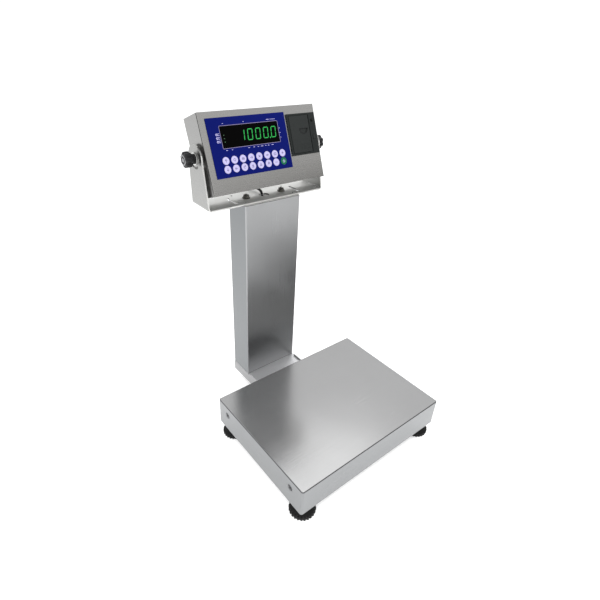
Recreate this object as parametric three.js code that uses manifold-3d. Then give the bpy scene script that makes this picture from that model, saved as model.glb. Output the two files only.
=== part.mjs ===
// Stainless bench scale: platter on a load cell, four levelling feet, and a printing indicator on a column.
// Millimetres, +Z up, the operator stands on the -Y side. The floor is z = 0.
import * as THREE from "three";
import { mergeVertices } from "three/addons/utils/BufferGeometryUtils.js";
import Module from "manifold-3d";

const wasm = await Module();
wasm.setup();

// ---- driving dimensions ----
const GAP = 0.3; // between pieces that rest on each other
const SHEET = 1.5; // stainless sheet of the covers

const PLATTER = { w: 400, d: 300, skirt: 66, top: 98, corner: 4, bend: 2 };
const PLATTER_SCREW = { y: 113, z: 75, hole: 5.5, dimple: 7.5, depth: 4, headR: 4.8, r: 3, socketR: 2.4 };
const NOTCH = { halfWidth: 79, top: 62 }; // in the platter's back skirt, round the column bracket

const BASE = { w: 380, d: 280, z0: 28, z1: 52, rail: 30, wall: 2.5 };
const SPIDER = { railX: 175, railW: 25, railD: 270, z0: 66.2, z1: 96.2, beamY: 60, beamW: 30, beamH: 20 };
const CELL = { l: 150, w: 40, z0: 42, z1: 78, boltX: 60, boltR: 4, play: 0.6, boreDepth: 19 };
const CELL_WINDOW = { x: 17, r: 13, slot: 4 }; // two round holes across the cell, joined by a slot
const LOWER_PLATE = { x: [-80, -40], t: 8 }; // under the fixed end of the load cell
const UPPER_PLATE = { x: [40, 80], y: [-60, 60], z: [84.2, 90] }; // over its loaded end
const SPACER = { halfL: 15, halfW: 20 };
const FOOT = { x: 175, y: 125, r: 27.5, rim: 12, top: 20, studR: 5, studTop: 46, lobes: 20, bossR: 12.4 };

const COLUMN = { w: 144, d: 66, front: 226, z0: 52, z1: 498, wall: 2, corner: 3, boreCorner: 1.5, floor: 5 };
const CHANNEL = { y0: 140.3, z0: 27, rim: 5, wall: 3, notch: 8 };
const CABLE = { r: 2.75, x: -4, y: 262, low: 40 };
const CABLE_WAY = { r: 5, halfW: 8, y: [236, 272] }; // the holes that the cable passes, with room to spare
const COLUMN_BOLT = { x: 45, y: 259, r: 4, head: 42.5, seat: 48.9, tip: 66 };
const BOLT_PLAY = 0.4; // round a bolt's shank in its hole

const BRACKET = { z0: 498.3, t: 3, front: 232, back: 300, inner: 143, armR: 26.5, cableHole: 11 };
const PLATE_HOLE = { y: 263.5, r: 5.5 }; // the cable's way through the column's top plate
const BRACKET_BOLT = { x: 46, y: 263, r: 4, tip: 486 };
const ARC_SLOT = { r: 83, halfAngle: 12, w: 5.5 };
const FLOOR_HOLES = { r: 2.5, front: { x: 62, y: 242 }, back: { x: 66, y: 291 } };
const ARM_SLOT = { r: 17, w: 5, from: -2.1, to: -1.05 };

const TILT = THREE.MathUtils.degToRad(20.8); // the indicator leans back from upright by this much
const PIVOT = { x: -6, y: 275.5, z: 593.6 };
const FACE = { w: 276, h: 153, y: -32, back: 26, panel: 2, gasket: 1.2 };
const OVERLAY = { left: 12.9, right: 194.3, top: 12.1, bottom: 122.4, t: 0.8 };
const WINDOW = { left: 39.5, right: 173.3, top: 28.3, bottom: 68, t: 1.6 };
const KEYS = { columns: 8, left: 39, pitch: 19.2, rows: [91, 107.4], r: 7.3, t: 0.85 };
const PRINTER = { left: 198.3, right: 273.3, top: 17.5, bottom: 101, depth: 20, rim: 2.3 };
const PRINTER_CUTOUT = { left: 200.5, right: 271.5, top: 20.3, bottom: 98.2 }; // in the front panel
const PRINTER_SHELL = { left: 200.8, right: 271.2, top: 20.6, bottom: 97.9 };
const BAY = { left: 202.8, right: 256, top: 21.5, bottom: 97 };
const BAY_INSIDE = { left: BAY.left, right: BAY.right, top: 22.6, bottom: 95.9 };
const DRIVE_SPACE = { left: 258, right: 269.2, top: 24, bottom: 94 };
const DOOR = { left: 203.3, right: 253.3, top: 22, bottom: 96.5, front: -35.4, back: -32.8 };
const FINGER = { x: 237.5, z: 48, r: 10.5, depth: 1.6 }; // the recess that opens the door
const PLATEN = { x: 247.3, y: -26.4, r: 4.5, top: 30.5, bottom: 88.5, axleR: 2 };
const ROLL = { x: 224.3, y: -10, r: 17, core: 6, top: 30.7, bottom: 88.2 };
const FEED = { x: 264, z: 67.4, w: 5, h: 9 };
const KNOB = { r: 15.5, lobes: 7, l: 22, studR: 4, washer: 2, washerR: 12, neckR: 9.5, capR: 10 };
const GLAND = { z: -25, r: 10, l: 20, load: 2, power: -58, threadR: 6 };

const INSERT = { r: 9, depth: 4.2 }; // the threaded inserts in the housing's sides
const THROUGH = 5; // a tool reaches this far past the face it cuts

const FACE_HALF = FACE.w / 2;
const FACE_TOP = FACE.h / 2;

// ---- solids: three.js makes them, manifold-3d only joins and cuts ----
function toSolid(geometry) {
  const bare = geometry.clone();
  bare.deleteAttribute("normal");
  bare.deleteAttribute("uv");
  const merged = mergeVertices(bare, 1e-4);
  const mesh = new wasm.Mesh({
    numProp: 3,
    vertProperties: merged.attributes.position.array,
    triVerts: new Uint32Array(merged.index.array),
  });
  return new wasm.Manifold(mesh);
}

function toGeometry(solid) {
  const mesh = solid.getMesh();
  const geometry = new THREE.BufferGeometry();
  geometry.setAttribute("position", new THREE.BufferAttribute(mesh.vertProperties, 3));
  geometry.setIndex(new THREE.BufferAttribute(mesh.triVerts, 1));
  geometry.computeVertexNormals();
  return geometry;
}

function join(...pieces) {
  return toGeometry(pieces.map(toSolid).reduce((a, b) => a.add(b)));
}

function cut(body, ...tools) {
  return toGeometry(tools.map(toSolid).reduce((a, b) => a.subtract(b), toSolid(body)));
}

// ---- plain shapes, each stated by where it lies ----
function box(x, y, z) {
  const geometry = new THREE.BoxGeometry(x[1] - x[0], y[1] - y[0], z[1] - z[0]);
  return geometry.translate((x[0] + x[1]) / 2, (y[0] + y[1]) / 2, (z[0] + z[1]) / 2);
}

// A rod along an axis, from one coordinate to another. at is its place in the other two, in X, Y, Z order.
function rod(axis, radius, span, at, sides = 20) {
  const geometry = new THREE.CylinderGeometry(radius, radius, span[1] - span[0], sides);
  const middle = (span[0] + span[1]) / 2;
  if (axis === "x") return geometry.rotateZ(Math.PI / 2).translate(middle, at[0], at[1]);
  if (axis === "y") return geometry.translate(at[0], middle, at[1]);
  return geometry.rotateX(Math.PI / 2).translate(at[0], at[1], middle);
}

// A turned piece about +Z: its profile is a list of [radius, height].
function turned(profile, sides = 32) {
  const points = profile.map(([r, z]) => new THREE.Vector2(r, z));
  return new THREE.LatheGeometry(points, sides).rotateX(Math.PI / 2);
}

function roundedRectangle(w, d, r) {
  const shape = new THREE.Shape();
  shape.absarc(w / 2 - r, d / 2 - r, r, 0, Math.PI / 2);
  shape.absarc(r - w / 2, d / 2 - r, r, Math.PI / 2, Math.PI);
  shape.absarc(r - w / 2, r - d / 2, r, Math.PI, 1.5 * Math.PI);
  shape.absarc(w / 2 - r, r - d / 2, r, 1.5 * Math.PI, 2 * Math.PI);
  return shape;
}

function extruded(shape, depth, curveSegments = 2) {
  return new THREE.ExtrudeGeometry(shape, { depth, bevelEnabled: false, curveSegments });
}

// A curved slot of a given width, on an arc about the origin.
function arcSlot(radius, width, from, to) {
  const shape = new THREE.Shape();
  const half = width / 2;
  const end = (angle) => [radius * Math.cos(angle), radius * Math.sin(angle)];
  shape.absarc(0, 0, radius + half, from, to);
  shape.absarc(...end(to), half, to, to + Math.PI);
  shape.absarc(0, 0, radius - half, to, from, true);
  shape.absarc(...end(from), half, from + Math.PI, from + 2 * Math.PI);
  return shape;
}

// ---- materials ----
function finish(color, roughness, metalness) {
  return new THREE.MeshStandardMaterial({ color, roughness, metalness });
}

const brushed = finish(0xb9b9b6, 0.35, 1);
const bright = finish(0xd4d4d2, 0.2, 1);
const aluminium = finish(0xa9adb0, 0.45, 1);
const darkSteel = finish(0x4a4a4c, 0.4, 1);
const rubber = finish(0x151515, 0.75, 0);
const blackPlastic = finish(0x1c1c1d, 0.45, 0);
const greyPlastic = finish(0x3a3c3d, 0.5, 0);
const blueFilm = finish(0x17218c, 0.35, 0);
const keyFilm = finish(0xcfc8ee, 0.4, 0);
const greenFilm = finish(0x2e7a4a, 0.4, 0);
const darkPane = finish(0x050505, 0.1, 0);
const board = finish(0x1f5a34, 0.6, 0);
const paper = finish(0xf1efe8, 0.9, 0);

const scale = new THREE.Group();
const platform = new THREE.Group();
const indicator = new THREE.Group();
indicator.position.set(PIVOT.x, PIVOT.y, PIVOT.z);
indicator.rotation.x = -TILT;
scale.add(platform, indicator);

function add(group, name, geometry, material) {
  const mesh = new THREE.Mesh(geometry, material);
  mesh.name = name;
  group.add(mesh);
  return mesh;
}

// ---- weighing platform ----
function platterPan() {
  const p = PLATTER;
  const low = p.top - p.skirt;
  const outline = roundedRectangle(p.w - 2 * p.bend, p.d - 2 * p.bend, p.corner);
  const round = {
    depth: p.skirt,
    bevelThickness: p.bend,
    bevelSize: p.bend,
    bevelSegments: 2,
    curveSegments: 2,
  };
  const outer = new THREE.ExtrudeGeometry(outline, round).translate(0, 0, low - p.bend);
  const inside = extruded(roundedRectangle(p.w - 2 * SHEET, p.d - 2 * SHEET, p.corner), p.skirt);
  inside.translate(0, 0, low - SHEET);
  const below = box([-p.w, p.w], [-p.d, p.d], [0, low]);
  const across = [-NOTCH.halfWidth, NOTCH.halfWidth];
  const notch = box(across, [p.d / 2 - 10, p.d / 2 + 10], [low - 1, NOTCH.top]);
  const pan = cut(outer, inside, below, notch);
  return cut(join(pan, ...sideDimples()), ...sideDimpleHollows());
}

// A dimple is pressed into the skirt round each side screw: a cone outside and the same cone inside it.
function coneAlongX(side, y, r0, r1, span) {
  const cone = new THREE.CylinderGeometry(r1, r0, span[1] - span[0], 16).rotateZ(-Math.PI / 2);
  cone.translate((span[0] + span[1]) / 2, 0, 0);
  if (side < 0) cone.rotateZ(Math.PI);
  return cone.translate(0, y, PLATTER_SCREW.z);
}

function sidePlaces() {
  return [-1, 1].flatMap((side) => [-PLATTER_SCREW.y, PLATTER_SCREW.y].map((y) => [side, y]));
}

function sideDimples() {
  const s = PLATTER_SCREW;
  const outside = PLATTER.w / 2;
  const span = [outside - SHEET - s.depth, outside - 0.2];
  return sidePlaces().map(([side, y]) => coneAlongX(side, y, s.hole + SHEET, s.dimple + SHEET, span));
}

function sideDimpleHollows() {
  const s = PLATTER_SCREW;
  const outside = PLATTER.w / 2;
  return sidePlaces().flatMap(([side, y]) => [
    coneAlongX(side, y, s.hole, s.dimple, [outside - s.depth, outside + 0.01]),
    coneAlongX(side, y, 3.5, 3.5, [outside - s.depth - 3, outside]),
  ]);
}

function platterScrew(side, y) {
  const s = PLATTER_SCREW;
  const outside = PLATTER.w / 2;
  const floor = outside - s.depth;
  const head = rod("x", s.headR, [floor + 0.1, outside - 0.4], [y, s.z], 16);
  const shank = rod("x", s.r, [SPIDER.railX + 4, floor + 1], [y, s.z], 12);
  const socket = rod("x", s.socketR, [outside - 3, outside], [y, s.z], 6);
  const screw = cut(join(head, shank), socket);
  return side < 0 ? screw.rotateZ(Math.PI).translate(0, 2 * y, 0) : screw;
}

function upperFrame() {
  const s = SPIDER;
  const railHalf = s.railW / 2;
  const w = BASE.wall;
  const pieces = [];
  const hollows = [];
  for (const side of [-1, 1]) {
    const x = side * s.railX;
    const y = side * s.beamY;
    const inside = [0, s.z1 - w];
    pieces.push(box([x - railHalf, x + railHalf], [-s.railD / 2, s.railD / 2], [s.z0, s.z1]));
    const along = [-s.railD / 2 - 1, s.railD / 2 + 1];
    hollows.push(box([x - railHalf + w, x + railHalf - w], along, inside));
    pieces.push(box([-s.railX, s.railX], [y - s.beamW / 2, y + s.beamW / 2], [s.z1 - s.beamH, s.z1]));
    const across = [-s.railX - 8, s.railX + 8];
    hollows.push(box(across, [y - s.beamW / 2 + w, y + s.beamW / 2 - w], inside));
  }
  const plate = box(UPPER_PLATE.x, UPPER_PLATE.y, UPPER_PLATE.z);
  const bolt = rod("z", CELL.boltR + BOLT_PLAY, [80, 100], [CELL.boltX, 0]);
  const screwHoles = sidePlaces().map(([side, y]) =>
    rod("x", 3.4, side < 0 ? [-200, -s.railX - 4] : [s.railX + 4, 200], [y, PLATTER_SCREW.z]),
  );
  const frame = cut(join(...pieces), ...hollows, ...screwHoles);
  return cut(join(frame, plate), bolt);
}

function loadCell() {
  const c = CELL;
  const w = CELL_WINDOW;
  const middle = (c.z0 + c.z1) / 2;
  const body = box([-c.l / 2, c.l / 2], [-c.w / 2, c.w / 2], [c.z0, c.z1]);
  const window = [-w.x, w.x].map((x) => rod("y", w.r, [-c.w, c.w], [x, middle]));
  const slot = box([-w.x, w.x], [-c.w, c.w], [middle - w.slot, middle + w.slot]);
  const low = rod("z", c.boltR + BOLT_PLAY, [c.z0 - 1, c.z0 + c.boreDepth], [-c.boltX, 0]);
  const high = rod("z", c.boltR + BOLT_PLAY, [c.z1 - c.boreDepth, c.z1 + 1], [c.boltX, 0]);
  return cut(body, ...window, slot, low, high);
}

function cellSpacer(x, z0, z1) {
  const s = SPACER;
  const block = box([x - s.halfL, x + s.halfL], [-s.halfW, s.halfW], [z0, z1]);
  return cut(block, rod("z", CELL.boltR + BOLT_PLAY, [z0 - 1, z1 + 1], [x, 0]));
}

// A socket head bolt along Z. headEnd is the z of the head's outer face, tip the z of the shank's end.
function capBolt(x, y, radius, headEnd, seat, tip) {
  const up = headEnd > seat;
  const head = rod("z", radius * 1.6, up ? [seat, headEnd] : [headEnd, seat], [x, y]);
  const shank = rod("z", radius, up ? [tip, seat + 1] : [seat - 1, tip], [x, y], 20);
  const deep = radius * 0.8;
  const hollow = up ? [headEnd - deep, headEnd + 1] : [headEnd - 1, headEnd + deep];
  const socket = rod("z", radius * 0.75, hollow, [x, y], 6);
  return cut(join(head, shank), socket);
}

function baseFrame() {
  const b = BASE;
  const ring = (inset, z0, z1) =>
    cut(
      box([inset - b.w / 2, b.w / 2 - inset], [inset - b.d / 2, b.d / 2 - inset], [z0, z1]),
      box(
        [b.rail - inset - b.w / 2, b.w / 2 - b.rail + inset],
        [b.rail - inset - b.d / 2, b.d / 2 - b.rail + inset],
        [z0 - 1, z1 + 1],
      ),
    );
  const channel = cut(ring(0, b.z0, b.z1), ring(b.wall, b.z0 - 5, b.z1 - b.wall));
  const plate = box(LOWER_PLATE.x, [1 - b.d / 2, b.d / 2 - 1], [b.z0, b.z0 + LOWER_PLATE.t]);
  const bosses = footPlaces().map(([x, y]) => rod("z", FOOT.bossR, [b.z0, b.z1 - 1], [x, y]));
  const studs = footPlaces().map(([x, y]) => rod("z", FOOT.studR + 0.5, [0, b.z1 + 1], [x, y]));
  const cableWay = rod("y", CABLE_WAY.r, [100, b.d / 2 + THROUGH], [CABLE.x, CABLE.low], 16);
  const bolt = rod("z", CELL.boltR + BOLT_PLAY, [20, 40], [-CELL.boltX, 0]);
  return cut(join(channel, plate, ...bosses), ...studs, cableWay, bolt);
}

function footPlaces() {
  return [-1, 1].flatMap((side) => [-FOOT.y, FOOT.y].map((y) => [side * FOOT.x, y]));
}

// The knurled rim of a foot: a disc whose edge is a ring of shallow lobes.
function knurledDisc(radius, depth, lobes, height) {
  const shape = new THREE.Shape();
  const steps = lobes * 2;
  for (let i = 0; i < steps; i += 1) {
    const angle = (i / steps) * 2 * Math.PI;
    const r = radius - (i % 2) * depth;
    shape[i ? "lineTo" : "moveTo"](r * Math.cos(angle), r * Math.sin(angle));
  }
  return extruded(shape, height);
}

function foot(x, y) {
  const f = FOOT;
  const rim = knurledDisc(f.r, 1.6, f.lobes, f.rim - 1.5).translate(0, 0, 1.5);
  const body = turned([
    [0, 0],
    [f.r - 3, 0],
    [f.r - 2.2, 1.5],
    [f.r - 2.2, f.rim],
    [f.r - 5, f.rim + 3],
    [13, f.top - 2],
    [12, f.top],
    [f.studR, f.top],
    [f.studR, f.studTop],
    [0, f.studTop],
  ], 20);
  return join(rim, body).translate(x, y, 0);
}

// ---- column and the folded channel that carries it ----
function columnBracket() {
  const c = COLUMN;
  const n = CHANNEL;
  const half = c.w / 2;
  const back = c.front + c.d;
  const outer = box([-half, half], [n.y0, back], [n.z0, c.z0]);
  const across = [n.wall - half, half - n.wall];
  const inside = box(across, [n.y0 + n.wall, back - n.wall], [n.z0 - 1, c.z0 - n.wall]);
  const rims = [-1, 1].map((side) => {
    const x = side < 0 ? [-half, n.wall - half] : [half - n.wall, half];
    return box(x, [n.y0, c.front - n.notch], [c.z0 - 1, c.z0 + n.rim]);
  });
  const cableFront = rod("y", CABLE_WAY.r, [n.y0 - 5, n.y0 + 10], [CABLE.x, CABLE.low], 16);
  const cableUp = box(cableWayX(), CABLE_WAY.y, [40, 60]);
  const bolts = columnBoltHoles([40, 60]);
  return cut(join(outer, ...rims), inside, cableFront, cableUp, ...bolts);
}

function cableWayX() {
  return [CABLE.x - CABLE_WAY.halfW, CABLE.x + CABLE_WAY.halfW];
}

function columnBoltPlaces() {
  return [-1, 1].map((side) => [side * COLUMN_BOLT.x, COLUMN_BOLT.y]);
}

function columnBoltHoles(span, middle = 0) {
  return columnBoltPlaces().map(([x, y]) => rod("z", COLUMN_BOLT.r + BOLT_PLAY, span, [x, y - middle]));
}

function columnTube() {
  const c = COLUMN;
  const middle = c.front + c.d / 2;
  const length = c.z1 - c.z0 - GAP;
  const outer = extruded(roundedRectangle(c.w, c.d, c.corner), length);
  const bore = roundedRectangle(c.w - 2 * c.wall, c.d - 2 * c.wall, c.boreCorner);
  const inner = extruded(bore, length).translate(0, 0, c.floor);
  const cable = box(cableWayX(), CABLE_WAY.y.map((y) => y - middle), [-1, 2 * c.floor]);
  const bolts = columnBoltHoles([-1, 2 * c.floor], middle);
  return cut(outer, inner, cable, ...bolts).translate(0, middle, c.z0 + GAP);
}

function columnTopPlate() {
  const c = COLUMN;
  const middle = c.front + c.d / 2;
  const inset = 2 * (c.wall + GAP);
  const thick = 4;
  const outline = roundedRectangle(c.w - inset, c.d - inset, 1);
  const plate = extruded(outline, thick).translate(0, middle, c.z1 - thick);
  const through = [c.z1 - 10, c.z1 + 1];
  const cable = rod("z", PLATE_HOLE.r, through, [CABLE.x, PLATE_HOLE.y]);
  return cut(plate, cable, ...bracketBoltHoles(through));
}

// ---- U bracket that holds the indicator ----
function bracketBoltPlaces() {
  return [-1, 1].map((side) => [side * BRACKET_BOLT.x, BRACKET_BOLT.y]);
}

function bracketBoltHoles(span) {
  return bracketBoltPlaces().map((place) => rod("z", BRACKET_BOLT.r + BOLT_PLAY, span, place));
}

function indicatorBracket() {
  const b = BRACKET;
  const left = PIVOT.x - b.inner - b.t;
  const right = PIVOT.x + b.inner + b.t;
  const floor = box([left, right], [b.front, b.back], [b.z0, b.z0 + b.t]);
  const arms = [left, right - b.t].map((x) => bracketArm().translate(x, 0, 0));
  const half = THREE.MathUtils.degToRad(ARC_SLOT.halfAngle);
  const arcs = [0, Math.PI].map((turn) => {
    const outline = arcSlot(ARC_SLOT.r, ARC_SLOT.w, turn - half, turn + half);
    return extruded(outline, 20).translate(0, CABLE.y, b.z0 - 10);
  });
  const through = [b.z0 - 5, b.z0 + 10];
  const { front, back } = FLOOR_HOLES;
  const small = [front, back].flatMap(({ x, y }) =>
    [-x, x].map((place) => rod("z", FLOOR_HOLES.r, through, [place, y], 12)),
  );
  const cable = rod("z", b.cableHole, through, [0, CABLE.y], 28);
  return cut(join(floor, ...arms), ...arcs, ...small, cable, ...bracketBoltHoles(through));
}

// One upright of the bracket, in the YZ plane: wide at the floor, round about the tilt axis.
function bracketArm() {
  const b = BRACKET;
  const shape = new THREE.Shape();
  shape.moveTo(b.front, b.z0);
  shape.lineTo(b.back, b.z0);
  shape.absarc(PIVOT.y, PIVOT.z, b.armR, -0.08, Math.PI + 0.12);
  const arm = extruded(shape, b.t, 9);
  const stud = rod("z", KNOB.studR + 0.5, [-1, b.t + 1], [PIVOT.y, PIVOT.z]);
  const outline = arcSlot(ARM_SLOT.r, ARM_SLOT.w, ARM_SLOT.from, ARM_SLOT.to);
  const slot = extruded(outline, b.t + 2).translate(PIVOT.y, PIVOT.z, -1);
  return cut(arm, stud, slot).applyMatrix4(yzUpright());
}

// Turns a shape drawn in XY and extruded along Z so that it is drawn in YZ and extruded along X.
function yzUpright() {
  return new THREE.Matrix4().set(0, 0, 1, 0, 1, 0, 0, 0, 0, 1, 0, 0, 0, 0, 0, 1);
}

// ---- indicator, in its own frame: the tilt axis is X through the origin, and the face looks along -Y ----
// The face is measured from its left and top edges.
function faceBox(area, y) {
  return box([faceX(area.left), faceX(area.right)], y, [faceZ(area.bottom), faceZ(area.top)]);
}

function grown(area, by) {
  return { left: area.left - by, right: area.right + by, top: area.top - by, bottom: area.bottom + by };
}

function faceX(fromLeft) {
  return fromLeft - FACE_HALF;
}

function faceZ(fromTop) {
  return FACE_TOP - fromTop;
}

function wholeFace(inset) {
  return { left: inset, right: FACE.w - inset, top: inset, bottom: FACE.h - inset };
}

const panelBack = FACE.y + FACE.panel;
const shellFront = panelBack + FACE.gasket + 2 * GAP;

function housingRear() {
  const shell = cut(
    faceBox(wholeFace(0), [shellFront, FACE.back]),
    faceBox(wholeFace(SHEET), [shellFront - 1, FACE.back - SHEET]),
  );
  const sides = [-1, 1];
  const across = (side, r, from, to) => rod("x", r, side < 0 ? [-to, -from] : [from, to], [0, 0]);
  const inserts = sides.map((side) => across(side, INSERT.r, FACE_HALF - INSERT.depth, FACE_HALF - 1));
  const studHoles = sides.map((side) =>
    across(side, KNOB.studR + BOLT_PLAY, FACE_HALF - 6, FACE_HALF + THROUGH),
  );
  const through = [FACE.back - THROUGH, FACE.back + THROUGH];
  const glandHoles = [GLAND.load, GLAND.power].map((x) =>
    rod("y", GLAND.threadR + 0.5, through, [x, GLAND.z], 16),
  );
  return cut(join(shell, ...inserts), ...studHoles, ...glandHoles);
}

function frontPanel() {
  const through = [FACE.y - THROUGH, FACE.y + THROUGH];
  return cut(
    faceBox(wholeFace(0), [FACE.y, panelBack]),
    faceBox(grown(WINDOW, 0.6), through),
    faceBox(PRINTER_CUTOUT, through),
  );
}

function gasket() {
  const y = [panelBack + GAP, panelBack + GAP + FACE.gasket];
  return cut(faceBox(wholeFace(0.8), y), faceBox(wholeFace(3), [y[0] - 1, y[1] + 1]));
}

function overlayFilm() {
  const y = [FACE.y - 0.2 - OVERLAY.t, FACE.y - 0.2];
  const through = [y[0] - 1, y[1] + 1];
  const holes = keyPlaces().map(([, x, z]) => rod("y", KEYS.r + 0.4, through, [x, z], 16));
  return cut(faceBox(OVERLAY, y), faceBox(grown(WINDOW, 0.4), through), ...holes);
}

function keyPlaces() {
  return KEYS.rows.flatMap((top, row) =>
    Array.from({ length: KEYS.columns }, (_, column) => [
      "key_" + "ab"[row] + (column + 1),
      faceX(KEYS.left + column * KEYS.pitch),
      faceZ(top),
    ]),
  );
}

// A key is a shallow dome embossed in the film. Its back is 0.75 above the panel, and it travels 0.4.
function keyCap() {
  const back = FACE.y - 0.75;
  const dome = turned([
    [0, 0],
    [KEYS.r, 0],
    [KEYS.r, 0.45],
    [KEYS.r - 0.9, KEYS.t],
    [0, KEYS.t],
  ], 16);
  return dome.rotateX(Math.PI / 2).translate(0, back, 0);
}

function displayWindow() {
  return faceBox(WINDOW, [FACE.y - 0.9, FACE.y - 0.9 + WINDOW.t]);
}

function displayModule() {
  const digits = faceBox(grown(WINDOW, -5), [FACE.y + 1.4, FACE.y + 9]);
  return join(digits, faceBox(grown(WINDOW, 4), [FACE.y + 8.5, FACE.y + 10.1]));
}

function mainBoard() {
  const area = { left: 20, right: 188, top: 22, bottom: 132 };
  const chips = [
    [40, 40, 30, 22, 12],
    [90, 60, 18, 18, 3],
    [130, 45, 26, 14, 9],
    [150, 95, 22, 30, 14],
    [55, 100, 40, 12, 10],
  ].map(([left, top, w, h, tall]) =>
    faceBox({ left, right: left + w, top, bottom: top + h }, [5 - tall, 5.5]),
  );
  return join(faceBox(area, [5, 6.6]), ...chips);
}

// ---- printer ----
function printerBody() {
  const rim = faceBox(PRINTER, [FACE.y - 0.2 - PRINTER.rim, FACE.y - 0.2]);
  const shell = faceBox(PRINTER_SHELL, [FACE.y - 1, PRINTER.depth]);
  const bay = faceBox(BAY_INSIDE, [FACE.y + 2, PRINTER.depth - 2]);
  const mouth = faceBox(BAY, [FACE.y - THROUGH, FACE.y + 2.5]);
  const drive = faceBox(DRIVE_SPACE, [FACE.y + 2, PRINTER.depth + 1]);
  const button = faceBox(feedArea(0.4), [FACE.y - THROUGH, FACE.y + 3]);
  return cut(join(rim, shell), bay, mouth, drive, button);
}

function feedArea(grow) {
  const f = FEED;
  const area = {
    left: f.x - f.w / 2,
    right: f.x + f.w / 2,
    top: f.z - f.h / 2,
    bottom: f.z + f.h / 2,
  };
  return grown(area, grow);
}

function feedButton() {
  const cap = faceBox(feedArea(0), [FACE.y - 3.6, FACE.y + 1.6]);
  const flange = faceBox(feedArea(1.6), [FACE.y + 2.3, FACE.y + 3.3]);
  return join(cap, flange, faceBox(feedArea(0), [FACE.y + 1, FACE.y + 3]));
}

function printerDoor() {
  const leaf = faceBox(DOOR, [DOOR.front, DOOR.back]);
  const recess = new THREE.Shape();
  recess.absarc(0, 0, FINGER.r, Math.PI, 2 * Math.PI);
  const finger = extruded(recess, 4, 10).rotateX(Math.PI / 2);
  finger.translate(faceX(FINGER.x), DOOR.front + FINGER.depth, faceZ(FINGER.z));
  const ears = [
    [PLATEN.top - 4.5, PLATEN.top - 1.5],
    [PLATEN.bottom + 1.5, PLATEN.bottom + 4.5],
  ].map(([top, bottom]) => {
    const area = { left: PLATEN.x - 4, right: PLATEN.x + 4, top, bottom };
    return faceBox(area, [DOOR.back - 0.5, PLATEN.y + 4]);
  });
  const through = [faceZ(PLATEN.bottom + 10), faceZ(PLATEN.top - 10)];
  const axle = rod("z", PLATEN.axleR + 0.3, through, [faceX(PLATEN.x), PLATEN.y]);
  return cut(join(leaf, ...ears), finger, axle);
}

function platenRoller() {
  const place = [faceX(PLATEN.x), PLATEN.y];
  const sleeve = rod("z", PLATEN.r, [faceZ(PLATEN.bottom), faceZ(PLATEN.top)], place);
  const axle = rod("z", PLATEN.axleR, [faceZ(PLATEN.bottom + 4), faceZ(PLATEN.top - 4)], place, 16);
  return join(sleeve, axle);
}

function paperRoll() {
  const low = faceZ(ROLL.bottom);
  const high = faceZ(ROLL.top);
  const place = [faceX(ROLL.x), ROLL.y];
  return cut(rod("z", ROLL.r, [low, high], place, 40), rod("z", ROLL.core, [low - 1, high + 1], place));
}

// ---- knobs, washers and glands ----
// The outermost face of the bracket's arm is this far from the middle of the indicator.
const armOuter = BRACKET.inner + BRACKET.t;

function starKnob(side) {
  const k = KNOB;
  const shape = new THREE.Shape();
  const steps = k.lobes * 6;
  for (let i = 0; i < steps; i += 1) {
    const angle = (i / steps) * 2 * Math.PI;
    const r = k.r - 1.3 + 1.3 * Math.cos(k.lobes * angle);
    shape[i ? "lineTo" : "moveTo"](r * Math.cos(angle), r * Math.sin(angle));
  }
  const from = armOuter + k.washer + 2 * GAP;
  const grip = extruded(shape, 15).translate(0, 0, from + 7).applyMatrix4(yzUpright());
  const neck = rod("x", k.neckR, [from, from + 8], [0, 0]);
  const cap = rod("x", k.capR, [from + 20, from + k.l], [0, 0]);
  const stud = rod("x", k.studR, [FACE_HALF - INSERT.depth, from + 4], [0, 0], 20);
  const knob = join(grip, neck, cap, stud);
  return side < 0 ? knob.rotateZ(Math.PI) : knob;
}

function knobWasher(side) {
  const x = [armOuter + GAP, armOuter + GAP + KNOB.washer];
  const span = side < 0 ? [-x[1], -x[0]] : x;
  const hole = rod("x", KNOB.studR + 0.5, [span[0] - 1, span[1] + 1], [0, 0]);
  return cut(rod("x", KNOB.washerR, span, [0, 0], 32), hole);
}

function cableGland(x) {
  const hex = rod("y", GLAND.r + 1, [FACE.back + 0.3, FACE.back + 6], [x, GLAND.z], 6);
  const dome = new THREE.CylinderGeometry(5.5, GLAND.r - 0.5, GLAND.l - 5.5, 24);
  dome.translate(x, FACE.back + 5.5 + (GLAND.l - 5.5) / 2, GLAND.z);
  return join(hex, dome, rod("y", GLAND.threadR, [FACE.back - 8, FACE.back + 1], [x, GLAND.z]));
}

// ---- load cell cable ----
function tube(points, steps) {
  const section = new THREE.Shape();
  section.absarc(0, 0, CABLE.r, 0, 2 * Math.PI);
  const path = new THREE.CatmullRomCurve3(points.map(([x, y, z]) => new THREE.Vector3(x, y, z)));
  const settings = { steps, curveSegments: 4, bevelEnabled: false, extrudePath: path };
  return new THREE.ExtrudeGeometry(section, settings);
}

function loadCellCable() {
  const { x, y } = CABLE;
  return tube(
    [
      [-CELL.l / 2 - GAP, 0, 60],
      [-84, 0, 60],
      [-96, 8, 60],
      [-98, 24, 58],
      [-84, 42, 54],
      [-50, 62, 46],
      [-16, 84, 41],
      [x, 108, 40],
      [x, 140, 40],
      [x, 180, 40],
      [x, 230, 40],
      [x, 250, 44],
      [x, 260, 56],
      [x, y, 75],
      [x, y, 180],
      [x, y, 330],
      [x, y, 470],
      [x, y + 1, 490],
      [x, y + 3, 500],
    ],
    56,
  );
}

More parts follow.
